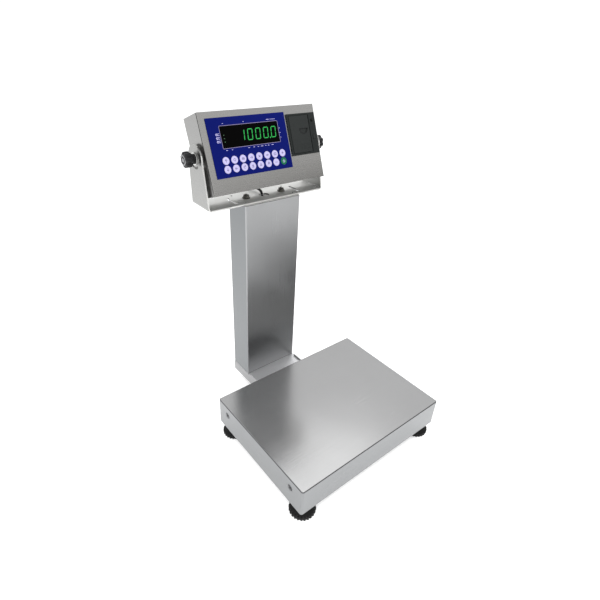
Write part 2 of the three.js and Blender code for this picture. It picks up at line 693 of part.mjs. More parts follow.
// From the bracket's cable hole, over its back edge and up to the gland. It flexes as the indicator tilts.
function cableLoop() {
  const end = (y, z) => {
    const point = new THREE.Vector3(GLAND.load, y, z).applyAxisAngle(new THREE.Vector3(1, 0, 0), -TILT);
    return [point.x + PIVOT.x, point.y + PIVOT.y, point.z + PIVOT.z];
  };
  const mouth = FACE.back + GLAND.l;
  return tube(
    [
      [CABLE.x, 265.4, 501],
      [CABLE.x, 266.6, 504.5],
      [CABLE.x, 271, 508],
      [CABLE.x, 280, 509.5],
      [CABLE.x, 296, 510],
      [CABLE.x, 314, 511],
      [CABLE.x, 327, 518],
      [CABLE.x, 333, 530],
      end(mouth + 14, GLAND.z - 2.5),
      end(mouth + 6, GLAND.z),
      end(mouth + GAP, GLAND.z),
    ],
    26,
  );
}

// ---- assembly ----
add(platform, "platter", platterPan(), brushed);
for (const [side, y] of sidePlaces()) {
  const name = "platter_screw_" + (side < 0 ? "left_" : "right_") + (y < 0 ? "front" : "back");
  add(platform, name, platterScrew(side, y), darkSteel);
}
add(platform, "upper_frame", upperFrame(), brushed);
add(platform, "load_cell", loadCell(), aluminium);
add(platform, "cell_spacer_lower", cellSpacer(-CELL.boltX, 36.1, 41.9), aluminium);
add(platform, "cell_spacer_upper", cellSpacer(CELL.boltX, CELL.z1 + CELL.play, 84.1), aluminium);
add(platform, "cell_bolt_lower", capBolt(-CELL.boltX, 0, CELL.boltR, 21.5, 27.9, 60), darkSteel);
add(platform, "cell_bolt_upper", capBolt(CELL.boltX, 0, CELL.boltR, 95.8, 90.1, 60.5), darkSteel);
add(platform, "base_frame", baseFrame(), brushed);
for (const [x, y] of footPlaces()) {
  add(platform, "foot_" + (y < 0 ? "front_" : "back_") + (x < 0 ? "left" : "right"), foot(x, y), rubber);
}

add(scale, "column_bracket", columnBracket(), brushed);
add(scale, "column", columnTube(), brushed);
add(scale, "column_top_plate", columnTopPlate(), brushed);
columnBoltPlaces().forEach(([x, y]) => {
  const { r, head, seat, tip } = COLUMN_BOLT;
  const bolt = capBolt(x, y, r, head, seat, tip);
  add(scale, x < 0 ? "column_bolt_left" : "column_bolt_right", bolt, darkSteel);
});
add(scale, "indicator_bracket", indicatorBracket(), brushed);
bracketBoltPlaces().forEach(([x, y]) => {
  const seat = BRACKET.z0 + BRACKET.t + 0.1;
  const bolt = capBolt(x, y, BRACKET_BOLT.r, seat + 8, seat, BRACKET_BOLT.tip);
  add(scale, x < 0 ? "bracket_bolt_left" : "bracket_bolt_right", bolt, darkSteel);
});
add(scale, "load_cell_cable", loadCellCable(), rubber);
add(scale, "cable_loop", cableLoop(), rubber);

add(indicator, "housing_rear", housingRear(), brushed);
add(indicator, "front_panel", frontPanel(), brushed);
add(indicator, "housing_gasket", gasket(), rubber);
add(indicator, "membrane_overlay", overlayFilm(), blueFilm);
add(indicator, "display_window", displayWindow(), darkPane);
add(indicator, "display_module", displayModule(), board);
add(indicator, "main_board", mainBoard(), board);
for (const [name, x, z] of keyPlaces()) {
  const key = add(indicator, name, keyCap(), name === "key_b8" ? greenFilm : keyFilm);
  key.position.set(x, 0, z);
}
add(indicator, "printer_body", printerBody(), blackPlastic);
add(indicator, "printer_door", printerDoor(), greyPlastic);
add(indicator, "platen_roller", platenRoller(), rubber);
add(indicator, "paper_roll", paperRoll(), paper);
add(indicator, "feed_button", feedButton(), greyPlastic);
for (const side of [-1, 1]) {
  const hand = side < 0 ? "left" : "right";
  add(indicator, "knob_" + hand, starKnob(side), blackPlastic);
  add(indicator, "knob_washer_" + hand, knobWasher(side), bright);
}
add(indicator, "gland_load_cell", cableGland(GLAND.load), blackPlastic);
add(indicator, "gland_power", cableGland(GLAND.power), blackPlastic);

// The origin is on the floor, in the middle of the whole scale's box.
const extent = new THREE.Box3().setFromObject(scale, true);
const middle = extent.getCenter(new THREE.Vector3());
scale.position.set(-middle.x, -middle.y, -extent.min.z);

export default scale;
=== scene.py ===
"""Stainless bench scale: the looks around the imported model. Lengths in the pieces are millimetres, from the
platter's centre on the floor, or from the indicator's tilt axis for what rides on the indicator."""

import math

import bmesh
import bpy
from mathutils import Matrix, Vector


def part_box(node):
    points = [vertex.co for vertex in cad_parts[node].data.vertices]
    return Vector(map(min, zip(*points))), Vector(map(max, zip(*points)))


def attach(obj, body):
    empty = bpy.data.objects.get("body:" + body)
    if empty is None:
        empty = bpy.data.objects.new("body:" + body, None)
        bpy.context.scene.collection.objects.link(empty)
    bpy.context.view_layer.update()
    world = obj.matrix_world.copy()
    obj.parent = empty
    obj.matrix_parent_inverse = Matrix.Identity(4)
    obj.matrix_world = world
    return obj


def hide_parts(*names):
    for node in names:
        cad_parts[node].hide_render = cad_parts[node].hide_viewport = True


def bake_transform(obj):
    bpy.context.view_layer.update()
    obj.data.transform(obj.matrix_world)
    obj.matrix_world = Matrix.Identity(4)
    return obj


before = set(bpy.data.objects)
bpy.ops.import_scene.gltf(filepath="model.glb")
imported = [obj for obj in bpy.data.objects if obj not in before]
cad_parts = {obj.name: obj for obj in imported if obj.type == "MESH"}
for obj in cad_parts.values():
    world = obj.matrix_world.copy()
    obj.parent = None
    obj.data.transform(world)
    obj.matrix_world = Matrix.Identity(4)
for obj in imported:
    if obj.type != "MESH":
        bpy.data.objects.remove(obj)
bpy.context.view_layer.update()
scene = bpy.context.scene

# ---- frames ----
MM = 0.001
platter_low, platter_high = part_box("platter")
CENTRE = Vector(((platter_low.x + platter_high.x) / 2, (platter_low.y + platter_high.y) / 2, 0))
SCALE = Matrix.Translation(CENTRE) @ Matrix.Scale(MM, 4)
PIVOT = (-6, 275.5, 593.6)
TILT = math.radians(20.8)
FACE = SCALE @ Matrix.Translation(PIVOT) @ Matrix.Rotation(-TILT, 4, "X")
FACE_LEFT, FACE_TOP, FACE_Y = -138, 76.5, -32
ALONG_X = Matrix.Rotation(math.pi / 2, 4, "Y")  # turns a lathe's axis from Z to X
TOWARDS_FRONT = Matrix.Rotation(math.pi / 2, 4, "X")  # from Z to -Y


def face_point(from_left, from_top):
    return FACE_LEFT + from_left, FACE_TOP - from_top


# ---- camera ----
CAMERA_PLACE = (-0.54816, -0.61379, 0.82495)
CAMERA_TURN = (-40.37, 31.71, 3.144)  # azimuth, elevation and roll in degrees
CAMERA_LENS = 27.004


def make_camera():
    azimuth, elevation, roll = (math.radians(v) for v in CAMERA_TURN)
    flat = math.cos(elevation)
    back = Vector((math.sin(azimuth) * flat, -math.cos(azimuth) * flat, math.sin(elevation)))
    right = Vector((math.cos(azimuth), math.sin(azimuth), 0))
    up = back.cross(right)
    x = math.cos(roll) * right + math.sin(roll) * up
    y = math.cos(roll) * up - math.sin(roll) * right
    data = bpy.data.cameras.new("camera")
    data.lens, data.sensor_width = CAMERA_LENS, 36
    data.clip_start, data.clip_end = 0.01, 100
    camera = bpy.data.objects.new("camera", data)
    scene.collection.objects.link(camera)
    camera.matrix_world = Matrix.Translation(CAMERA_PLACE) @ Matrix((x, y, back)).transposed().to_4x4()
    scene.camera = camera


make_camera()


# ---- materials ----
class Nodes:
    """A material's node tree, with short calls to add and link nodes."""

    def __init__(self, name):
        self.material = bpy.data.materials.new(name)
        self.material.use_nodes = True
        self.tree = self.material.node_tree
        self.shader = self.tree.nodes["Principled BSDF"]
        self.coords = self.add("ShaderNodeTexCoord").outputs["Object"]

    def add(self, kind, **settings):
        node = self.tree.nodes.new(kind)
        for key, value in settings.items():
            setattr(node, key, value)
        return node

    def link(self, source, target):
        self.tree.links.new(source, target)

    def mapped(self, source, scale):
        node = self.add("ShaderNodeMapping")
        node.inputs["Scale"].default_value = scale
        self.link(source, node.inputs["Vector"])
        return node.outputs["Vector"]

    def noise(self, source, scale=1.0, detail=4.0, roughness=0.6, stretch=(1, 1, 1)):
        node = self.add("ShaderNodeTexNoise")
        node.inputs["Scale"].default_value = scale
        node.inputs["Detail"].default_value = detail
        node.inputs["Roughness"].default_value = roughness
        self.link(self.mapped(source, stretch), node.inputs["Vector"])
        return node.outputs["Fac"]

    def ranged(self, source, low, high, from_low=0.3, from_high=0.7):
        node = self.add("ShaderNodeMapRange")
        limits = {"From Min": from_low, "From Max": from_high, "To Min": low, "To Max": high}
        for name, value in limits.items():
            node.inputs[name].default_value = value
        self.link(source, node.inputs["Value"])
        return node.outputs["Result"]

    def maths(self, operation, a, b=None):
        node = self.add("ShaderNodeMath", operation=operation)
        for socket, value in zip(node.inputs, (a, b)):
            if value is None:
                continue
            if isinstance(value, (int, float)):
                socket.default_value = value
            else:
                self.link(value, socket)
        return node.outputs[0]

    def mixed(self, factor, first, second):
        """A colour between two colours, by a factor from 0 to 1."""
        node = self.add("ShaderNodeMix", data_type="RGBA")
        self.link(factor, node.inputs["Factor"])
        sockets = [s for s in node.inputs if s.type == "RGBA"]
        sockets[0].default_value, sockets[1].default_value = (*first, 1), (*second, 1)
        return [s for s in node.outputs if s.type == "RGBA"][0]

    def split(self, vector):
        node = self.add("ShaderNodeSeparateXYZ")
        self.link(vector, node.inputs[0])
        return node.outputs

    def normal(self):
        return self.split(self.add("ShaderNodeNewGeometry").outputs["Normal"])

    def coloured(self, source):
        self.link(source, self.shader.inputs["Base Color"])

    def roughened(self, source):
        self.link(source, self.shader.inputs["Roughness"])

    def bump(self, height, strength, distance):
        node = self.add("ShaderNodeBump")
        node.inputs["Strength"].default_value = strength
        node.inputs["Distance"].default_value = distance
        self.link(height, node.inputs["Height"])
        self.link(node.outputs["Normal"], self.shader.inputs["Normal"])

    def fixed(self, **values):
        for key, value in values.items():
            self.shader.inputs[key.replace("_", " ")].default_value = value


def tinted(shade, factor):
    return tuple(min(1, c * factor) for c in shade)


MOSTLY = 0.7  # a normal with more than this along an axis looks that way
LINES_PER_METRE, BANDS_PER_METRE, RUNS_PER_METRE = 1300, 260, 7  # across the grain, and along it


def turned_on_sides(n):
    """The object's coordinates, with X and Y changed over on faces that look along X."""
    here = n.split(n.coords)
    turned = n.add("ShaderNodeCombineXYZ")
    for source, target in (("Y", "X"), ("X", "Y"), ("Z", "Z")):
        n.link(here[source], turned.inputs[target])
    sideways = n.maths("GREATER_THAN", n.maths("ABSOLUTE", n.normal()["X"]), MOSTLY)
    pick = n.add("ShaderNodeMix", data_type="VECTOR")
    n.link(sideways, pick.inputs["Factor"])
    vectors = [s for s in pick.inputs if s.type == "VECTOR" and s.name in ("A", "B")]
    n.link(n.coords, vectors[0])
    n.link(turned.outputs[0], vectors[1])
    return [s for s in pick.outputs if s.type == "VECTOR"][0]


def brushed_steel(name, shade, roughness, grain="x", dull=0.03, relief=0.05, fineness=1.0, sides=1.0):
    """Satin stainless: fine lines along one way of the sheet, and soft smudges. Faces that don't look up
    get a painted shade, darker where sides is below 1."""
    n = Nodes(name)
    n.fixed(Metallic=1.0)
    place = turned_on_sides(n) if grain == "x" else n.coords
    long_way, fine, broad = RUNS_PER_METRE, LINES_PER_METRE * fineness, BANDS_PER_METRE * fineness
    stretch = {"x": (long_way, fine, fine), "z": (fine, fine, long_way)}[grain]
    wide = {"x": (long_way / 3, broad, broad), "z": (broad, broad, long_way / 3)}[grain]
    lines = n.noise(place, detail=3, stretch=stretch)
    bands = n.noise(place, detail=2, stretch=wide)
    smudge = n.noise(n.coords, scale=9, detail=3, roughness=0.5)
    colour = n.maths("ADD", n.ranged(lines, -0.5, 0.5), n.ranged(bands, -0.35, 0.35))
    colour = n.maths("ADD", colour, n.ranged(smudge, -0.5, 0.5))
    tone = n.mixed(n.ranged(colour, 0, 1, -1, 1), tinted(shade, 1 - dull), tinted(shade, 1 + dull))
    # painted shade: faces that don't look up are darkened by the sides factor
    if sides < 1:
        upward = n.maths("GREATER_THAN", n.normal()["Z"], MOSTLY)
        painted_side_shade = n.add("ShaderNodeVectorMath", operation="SCALE")
        n.link(tone, painted_side_shade.inputs[0])
        n.link(n.ranged(upward, sides, 1, 0, 1), painted_side_shade.inputs["Scale"])
        tone = painted_side_shade.outputs["Vector"]
    n.coloured(tone)
    slow = n.ranged(smudge, roughness - 0.03, roughness + 0.03)
    n.roughened(n.maths("ADD", n.ranged(lines, -0.035, 0.035), slow))
    n.bump(n.maths("ADD", lines, bands), relief, 0.00006)
    return n.material


def plain_metal(name, shade, roughness, speck=220):
    """Machined or oxidised metal, with a fine tooling grain."""
    n = Nodes(name)
    n.fixed(Metallic=1.0)
    grain = n.noise(n.coords, scale=speck, detail=5)
    n.coloured(n.mixed(n.ranged(grain, 0, 1), tinted(shade, 0.85), tinted(shade, 1.12)))
    n.roughened(n.ranged(grain, roughness - 0.06, roughness + 0.08))
    n.bump(grain, 0.15, 0.00008)
    return n.material


def moulded(name, shade, roughness, grain=900, relief=0.25, spread=0.18, coat=0.0, specular=0.3):
    """Moulded plastic or rubber: a fine sparked texture and slightly uneven colour and gloss."""
    n = Nodes(name)
    n.fixed(Metallic=0.0, Coat_Weight=coat, Coat_Roughness=0.2, Specular_IOR_Level=specular)
    fine = n.noise(n.coords, scale=grain, detail=3)
    slow = n.noise(n.coords, scale=14, detail=3)
    blend = n.maths("MULTIPLY", n.maths("ADD", n.ranged(fine, 0, 1), n.ranged(slow, 0, 1)), 0.5)
    n.coloured(n.mixed(blend, tinted(shade, 1 - spread), tinted(shade, 1 + spread)))
    gloss = n.ranged(slow, roughness - 0.04, roughness + 0.04)
    n.roughened(n.maths("ADD", n.ranged(fine, -0.05, 0.05), gloss))
    n.bump(fine, relief, 0.00012)
    return n.material


def printed_board(name):
    """Green solder mask with faint copper tracks."""
    n = Nodes(name)
    tracks = n.add("ShaderNodeTexBrick")
    tracks.inputs["Scale"].default_value = 90
    tracks.inputs["Color1"].default_value = (0.012, 0.11, 0.045, 1)
    tracks.inputs["Color2"].default_value = (0.016, 0.13, 0.055, 1)
    tracks.inputs["Mortar"].default_value = (0.05, 0.2, 0.07, 1)
    n.link(n.coords, tracks.inputs["Vector"])
    n.coloured(tracks.outputs["Color"])
    n.fixed(Roughness=0.35)
    n.bump(tracks.outputs["Fac"], 0.2, 0.0001)
    return n.material


def glowing(name, shade, glow, strength):
    """A lit part of the display."""
    n = Nodes(name)
    n.fixed(Roughness=0.3, Emission_Color=(*glow, 1), Emission_Strength=strength)
    fine = n.noise(n.coords, scale=500, detail=2)
    n.coloured(n.mixed(n.ranged(fine, 0, 1), tinted(shade, 0.9), shade))
    return n.material


STEEL = (0.42, 0.42, 0.415)
steel_sheet = brushed_steel("steel_sheet", (0.405, 0.405, 0.405), 0.22,
                            dull=0.016, relief=0.025, fineness=1.8)
# a darker copy of the top's steel for the skirts and dimples: painted shade
steel_skirt_painted_shade = brushed_steel("steel_skirt_painted_shade", (0.245, 0.25, 0.255), 0.3,
                            dull=0.02, relief=0.03, fineness=1.6)
# a near-black steel for the top's bend: a painted dark reflection line
steel_bend_painted_reflection = brushed_steel("steel_bend_painted_reflection", (0.12, 0.12, 0.125), 0.3, dull=0.02, relief=0.02)
steel_box = brushed_steel("steel_box", STEEL, 0.30)
# a much lighter steel for the ledge: painted light on its top and painted shade on its sides
steel_ledge_painted_light_and_shade = brushed_steel("steel_ledge_painted_light_and_shade", (0.85, 0.85, 0.86), 0.42, dull=0.02, sides=0.4)
steel_housing = brushed_steel("steel_housing", (0.32, 0.318, 0.312), 0.3,
                              dull=0.02, relief=0.03, fineness=1.6)
steel_column = brushed_steel("steel_column", (0.315, 0.318, 0.322), 0.31, grain="z",
                             dull=0.02, relief=0.02)
# a darker copy of the column's steel for its sides: painted shade
steel_column_painted_side_shade = brushed_steel("steel_column_painted_side_shade", (0.2, 0.208, 0.213), 0.31, grain="z",
                                  dull=0.02, relief=0.02)
steel_panel = brushed_steel("steel_panel", (0.34, 0.335, 0.325), 0.27,
                            dull=0.02, relief=0.03, fineness=1.6)
steel_arm = brushed_steel("steel_arm", (0.32, 0.32, 0.312), 0.28, dull=0.02)
# a much lighter copy of the steel: painted light on the bracket's floor and front edges, and on the column's
# top plate
steel_floor_painted_light = brushed_steel("steel_floor_painted_light", (0.84, 0.84, 0.82), 0.6, dull=0.02, relief=0.03)
aluminium = plain_metal("aluminium", (0.6, 0.61, 0.62), 0.42)
dark_steel = plain_metal("dark_steel", (0.09, 0.09, 0.092), 0.38, speck=400)
bolt_steel = plain_metal("bolt_steel", (0.2, 0.195, 0.18), 0.24, speck=400)
bright_steel = plain_metal("bright_steel", (0.62, 0.62, 0.61), 0.2, speck=300)
knob_steel = plain_metal("knob_steel", (0.3, 0.3, 0.31), 0.22, speck=300)
rubber = moulded("rubber", (0.006, 0.006, 0.006), 0.6, grain=600, relief=0.4, specular=0.2)
cable_sheath = moulded("cable_sheath", (0.007, 0.007, 0.008), 0.45, grain=500, specular=0.2)
black_plastic = moulded("black_plastic", (0.006, 0.006, 0.007), 0.33)
charcoal = moulded("charcoal", (0.018, 0.02, 0.0195), 0.42, spread=0.12, specular=0.1)
charcoal_dark = moulded("charcoal_dark", (0.013, 0.015, 0.0145), 0.42, spread=0.12, specular=0.1)
blue_film = moulded("blue_film", (0.0018, 0.005, 0.084),
                    0.34, grain=1500, relief=0.1, spread=0.07, specular=0.04)
dark_pane = moulded("dark_pane", (0.0003, 0.0003, 0.0003), 0.12, grain=200, relief=0.01, specular=0.03)
circuit_board = printed_board("circuit_board")
paper = moulded("paper", (0.8, 0.79, 0.75), 0.85, grain=400, relief=0.2, spread=0.03)
key_film = moulded("key_film", (0.36, 0.335, 0.52),
                   0.38, grain=1500, relief=0.1, spread=0.05, specular=0.2)
green_film = moulded("green_film", (0.008, 0.1, 0.045),
                     0.38, grain=1500, relief=0.1, spread=0.05, specular=0.15)
print_white = moulded("print_white", (0.42, 0.4, 0.62),
                      0.5, grain=1500, relief=0.05, spread=0.04, specular=0.2)
border_print = moulded("border_print", (0.2, 0.17, 0.27),
                       0.5, grain=1500, relief=0.05, spread=0.1, specular=0.2)
print_dark = moulded("print_dark", (0.04, 0.035, 0.1),
                     0.5, grain=1500, relief=0.05, spread=0.1, specular=0.2)
digit_glow = glowing("digit_glow", (0.004, 0.07, 0.015), (0.01, 0.75, 0.11), 0.55)
dot_glow = glowing("dot_glow", (0.03, 0.07, 0.035), (0.06, 0.2, 0.09), 0.3)
lamp_lens = moulded("lamp_lens", (0.002, 0.003, 0.002), 0.2, coat=0.05, specular=0.1)


# ---- mesh building ----
def polar(radius, angle):
    return radius * math.cos(angle), radius * math.sin(angle)


def turns(count):
    """Angles that part a whole turn into equal steps."""
    return [2 * math.pi * i / count for i in range(count)]


def circle(radius, sides):
    return [polar(radius, a) for a in turns(sides)]


def rounded(width, depth, radius, steps=6):
    """A rectangle with round corners, about the origin."""
    points = []
    for corner, (sx, sy) in enumerate(((1, 1), (-1, 1), (-1, -1), (1, -1))):
        cx, cy = sx * (width / 2 - radius), sy * (depth / 2 - radius)
        for i in range(steps + 1):
            a = math.pi / 2 * (corner + i / steps)
            points.append((cx + radius * math.cos(a), cy + radius * math.sin(a)))
    return points


def at_height(outline, z, x=0.0, y=0.0):
    return [Vector((px + x, py + y, z)) for px, py in outline]


def loft(bm, rings, caps=True):
    """Joins closed rings of equal counts into a skin, with flat caps, or else the last ring to the first."""
    made = [[bm.verts.new(p) for p in ring] for ring in rings]
    pairs = list(zip(made, made[1:])) + ([] if caps else [(made[-1], made[0])])
    count = len(rings[0])
    for a, b in pairs:
        for i in range(count):
            j = (i + 1) % count
            bm.faces.new((a[i], a[j], b[j], b[i]))
    if caps:
        bm.faces.new(list(reversed(made[0])))
        bm.faces.new(made[-1])
    return bm


def lathe(bm, profile, sides=48, place=Matrix.Identity(4), outline=circle):
    """A turned piece about Z from pairs of radius and height. The outline may be another curve."""
    return loft(bm, [[place @ p for p in at_height(outline(r, sides), z)] for r, z in profile])


def prism(bm, outline, y0, y1):
    """A flat shape in the XZ plane, thick along Y."""
    return loft(bm, [[Vector((x, y, z)) for x, z in outline] for y in (y0, y1)])


def bar(bm, a, b, width, y0, y1):
    """A straight stroke between two XZ points."""
    run = Vector((b[0] - a[0], b[1] - a[1])).normalized() * width / 2
    side = Vector((-run.y, run.x))
    ends = [Vector(a) - run + side, Vector(a) - run - side, Vector(b) + run - side, Vector(b) + run + side]
    return prism(bm, [(p.x, p.y) for p in ends], y0, y1)


def arc_bar(bm, centre, radius, width, start, end, y0, y1, steps=18):
    """A curved stroke. A whole turn closes on itself."""
    whole = abs(end - start) > 2 * math.pi - 1e-6
    inner, outer = radius - width / 2, radius + width / 2
    rings = []
    for i in range(steps + (0 if whole else 1)):
        ring = []
        for r, y in ((inner, y0), (outer, y0), (outer, y1), (inner, y1)):
            x, z = polar(r, start + (end - start) * i / steps)
            ring.append(Vector((centre[0] + x, y, centre[1] + z)))
        rings.append(ring)
    return loft(bm, rings, caps=not whole)


def block(bm, x, y, z):
    """A box between two values on each axis."""
    outline = ((x[0], y[0]), (x[1], y[0]), (x[1], y[1]), (x[0], y[1]))
    return loft(bm, [at_height(outline, pz) for pz in z])


def temporary(bm):
    """An object that lasts until its mesh has been cut or has cut another."""
    bmesh.ops.recalc_face_normals(bm, faces=bm.faces)
    mesh = bpy.data.meshes.new("temporary")
    bm.to_mesh(mesh)
    bm.free()
    made = bpy.data.objects.new("temporary", mesh)
    scene.collection.objects.link(made)
    return made


def combined(bm, tools, operation="DIFFERENCE"):
    """The solid cut by, or kept within, each of the tools, one at a time."""
    base = temporary(bm)
    used = [temporary(tool) for tool in tools]
    for tool in used:
        modifier = base.modifiers.new("cut", "BOOLEAN")
        modifier.object, modifier.operation, modifier.solver = tool, operation, "EXACT"
    graph = bpy.context.evaluated_depsgraph_get()
    mesh = bpy.data.meshes.new_from_object(base.evaluated_get(graph))
    made = bmesh.new()
    made.from_mesh(mesh)
    bmesh.ops.remove_doubles(made, verts=made.verts, dist=1e-4)
    bmesh.ops.dissolve_limit(made, angle_limit=math.radians(0.5), verts=made.verts, edges=made.edges)
    for thing in (base, *used):
        data = thing.data
        bpy.data.objects.remove(thing)
        bpy.data.meshes.remove(data)
    bpy.data.meshes.remove(mesh)
    return made


def soften(obj, width, segments=2, angle=35):
    """Rounds the edges of a piece by a width in millimetres, and evens its shading."""
    if width:
        bevel = obj.modifiers.new("edge", "BEVEL")
        bevel.width, bevel.segments = width * MM, segments
        bevel.limit_method, bevel.angle_limit = "ANGLE", math.radians(angle)
        bevel.use_clamp_overlap = True
        bevel.miter_outer = "MITER_ARC"
    even = obj.modifiers.new("even", "WEIGHTED_NORMAL")
    even.keep_sharp = True
    even.weight = 100


def piece(name, bm, place, material, body, slot, edge=0.0, replaces=(), sharp=40, segments=2):
    """Makes an object of a mesh in millimetres, and puts it on its body."""
    bmesh.ops.transform(bm, matrix=place, verts=bm.verts)
    bmesh.ops.recalc_face_normals(bm, faces=bm.faces)
    mesh = bpy.data.meshes.new(name)
    bm.to_mesh(mesh)
    bm.free()
    mesh.materials.append(material)
    mesh.shade_smooth()
    if not edge:
        mesh.set_sharp_from_angle(angle=math.radians(sharp))
    obj = bpy.data.objects.new(name, mesh)
    scene.collection.objects.link(obj)
    soften(obj, edge, segments)
    if replaces:
        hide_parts(*replaces)
    if body:
        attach(obj, body)
    return obj


def retouch(obj, material, picks):
    """Gives another material to the faces whose normals are picked."""
    obj.data.materials.append(material)
    for face in obj.data.polygons:
        if picks(face.normal):
            face.material_index = len(obj.data.materials) - 1


def dress(names, material, edge=0.4, segments=2, flatten=True):
    """Gives CAD nodes their material and rounds their edges."""
    for name in names:
        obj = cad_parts[name]
        obj.data.materials.clear()
        obj.data.materials.append(material)
        if "custom_normal" in obj.data.attributes:
            obj.data.attributes.remove(obj.data.attributes["custom_normal"])
        obj.data.shade_smooth()
        weld = obj.modifiers.new("weld", "WELD")
        weld.merge_threshold = 2e-6
        if flatten:
            flat = obj.modifiers.new("flat", "DECIMATE")
            flat.decimate_type, flat.angle_limit = "DISSOLVE", math.radians(0.6)
        soften(obj, edge, segments, angle=28)


# ---- weighing platform ----
PAN = {"w": 400, "d": 300, "low": 32, "top": 98, "corner": 5, "bend": 2.2, "inner_bend": 1.5, "sheet": 1.5}
PAN_HEM = 0.3  # the rounding of the skirt's lower edge
PAN_FLAT = 60  # the top is closed by a flat face inside a ring this wide
PAN_NOTCH = {"x": (-79, 79), "y": (140, 160), "z": (20, 62)}  # clears the column bracket
SCREW_Y, SCREW_Z = 113, 75
DIMPLE_R = 7.7


def make_platter():
    p = PAN
    rings = []

    def ring(inset, z):
        outline = rounded(p["w"] - 2 * inset, p["d"] - 2 * inset, p["corner"] - min(inset, 3))
        rings.append(at_height(outline, z))

    sheet, bend, steps = p["sheet"], p["bend"], 5
    ring(sheet + PAN_FLAT, p["top"] - sheet)
    ring(sheet + p["inner_bend"], p["top"] - sheet)
    ring(sheet, p["top"] - sheet - p["inner_bend"])
    ring(sheet, p["low"] + PAN_HEM)
    ring(sheet - PAN_HEM, p["low"])
    ring(PAN_HEM, p["low"])
    ring(0, p["low"] + PAN_HEM)
    for i in range(steps + 1):
        a = math.pi / 2 * i / steps
        ring(bend * (1 - math.cos(a)), p["top"] - bend * (1 - math.sin(a)))
    ring(bend + PAN_FLAT, p["top"])
    pan = loft(bmesh.new(), rings)
    tools = [block(bmesh.new(), **PAN_NOTCH)]
    for side in (-1, 1):
        for y in (-SCREW_Y, SCREW_Y):
            place = Matrix.Translation((side * (p["w"] / 2 - 1), y, SCREW_Z)) @ ALONG_X
            tools.append(lathe(bmesh.new(), [(DIMPLE_R, -6), (DIMPLE_R, 6)], 32, place))
    pan = combined(pan, tools)
    pan = piece("pan", pan, SCALE, steel_sheet, "platform", "brushed_steel", replaces=["platter"], sharp=60)
    # painted shade: faces that don't look up take the darker steel
    retouch(pan, steel_skirt_painted_shade, lambda normal: normal.z < 0.3)
    # painted dark reflection on the slanted faces of the bend
    retouch(pan, steel_bend_painted_reflection, lambda normal: 0.3 < normal.z < 0.92)
    r = DIMPLE_R
    cup = [(r + 0.9, -1.6), (r + 0.9, 0.02), (r + 0.4, 0.25), (r - 0.5, 0.1), (r - 1.2, -0.8), (r - 2, -3.2)]
    cup += [(r - 2.6, -3.9), (3.4, -4), (3.4, -5.4), (r - 1.5, -5.4), (r + 0.2, -1.6)]
    for side, hand in ((-1, "left"), (1, "right")):
        for y, end in ((-SCREW_Y, "front"), (SCREW_Y, "back")):
            outwards = Matrix.Rotation(side * math.pi / 2, 4, "Y")
            place = Matrix.Translation((side * p["w"] / 2, y, SCREW_Z)) @ outwards
            bm = bmesh.new()
            loft(bm, [[place @ p for p in at_height(circle(r, 40), z)] for r, z in cup], caps=False)
            piece(f"pan_dimple_{hand}_{end}", bm, SCALE, steel_skirt_painted_shade, "platform", "brushed_steel", sharp=70)


KNURL = (0.0, 0.0, -2.5, -2.5)


def knurled(radius, sides):
    """A circle with a tooth on every four steps."""
    return [polar(radius + KNURL[i % 4], a) for i, a in enumerate(turns(sides))]


FOOT_TEETH = 24
FOOT_R = 27.4
FOOT_X, FOOT_Y = 175, 125
THREAD = {"root": 4.1, "crest": 4.9, "pitch": 1.25, "low": 19.9, "turns": 21, "top": 46}


def make_foot(name, x, y):
    place = SCALE @ Matrix.Translation((x, y, 0))
    bm = bmesh.new()
    r = FOOT_R
    rim = [(r - 2.5, 0.6), (r - 0.7, 1.8), (r, 3.2), (r, 10.2), (r - 0.8, 11.6), (r - 2.6, 12.6)]
    lathe(bm, rim, FOOT_TEETH * len(KNURL), outline=knurled)
    body = [(0.5, 0), (r - 5, 0), (r - 3.2, 0.7), (r - 3.2, 12.7), (r - 5.6, 14.6), (17, 17), (13.6, 18.4)]
    lathe(bm, body + [(12.4, 20), (5.2, 20)], 56)
    piece(name + "_pad", bm, place, rubber, name, "rubber", replaces=[name], sharp=50)
    t = THREAD
    stud = [(0.5, 19.5), (4.2, 19.5)]
    for i in range(t["turns"]):
        z = t["low"] + i * t["pitch"]
        stud += [(t["root"], z), (t["crest"], z + 0.45), (t["crest"], z + 0.6)]
    stud += [(t["root"], t["top"]), (0.5, t["top"])]
    piece(name + "_stud", lathe(bmesh.new(), stud, 24), place, bright_steel, name, "bright_steel", sharp=25)


make_platter()
for fb, y in (("front", -FOOT_Y), ("back", FOOT_Y)):
    for lr, x in (("left", -FOOT_X), ("right", FOOT_X)):
        make_foot(f"foot_{fb}_{lr}", x, y)
dress(["base_frame"], steel_box, 0, flatten=False)
dress(["upper_frame"], steel_box, 0.5)
dress(["load_cell", "cell_spacer_lower", "cell_spacer_upper"], aluminium, 0.5)
dress(["cell_bolt_lower", "cell_bolt_upper", "column_bolt_left", "column_bolt_right"], dark_steel, 0.35)
dress([f"platter_screw_{lr}_{fb}" for lr in ("left", "right") for fb in ("front", "back")], dark_steel, 0.4)
# painted light on the ledge's top, painted shade on its sides
dress(["column_bracket"], steel_ledge_painted_light_and_shade, 0.8, 3)
dress(["load_cell_cable"], cable_sheath, 0)

# ---- column ----
COLUMN = {"w": 144, "d": 66, "middle": 259, "z0": 52.3, "z1": 498, "corner": 3.2, "wall": 2}
COLUMN_BOLTS = {"x": 45, "hole": 4.3}
COLUMN_CABLE_WAY = {"x": (-12, 4), "y": (236, 272), "z": (50, 60)}


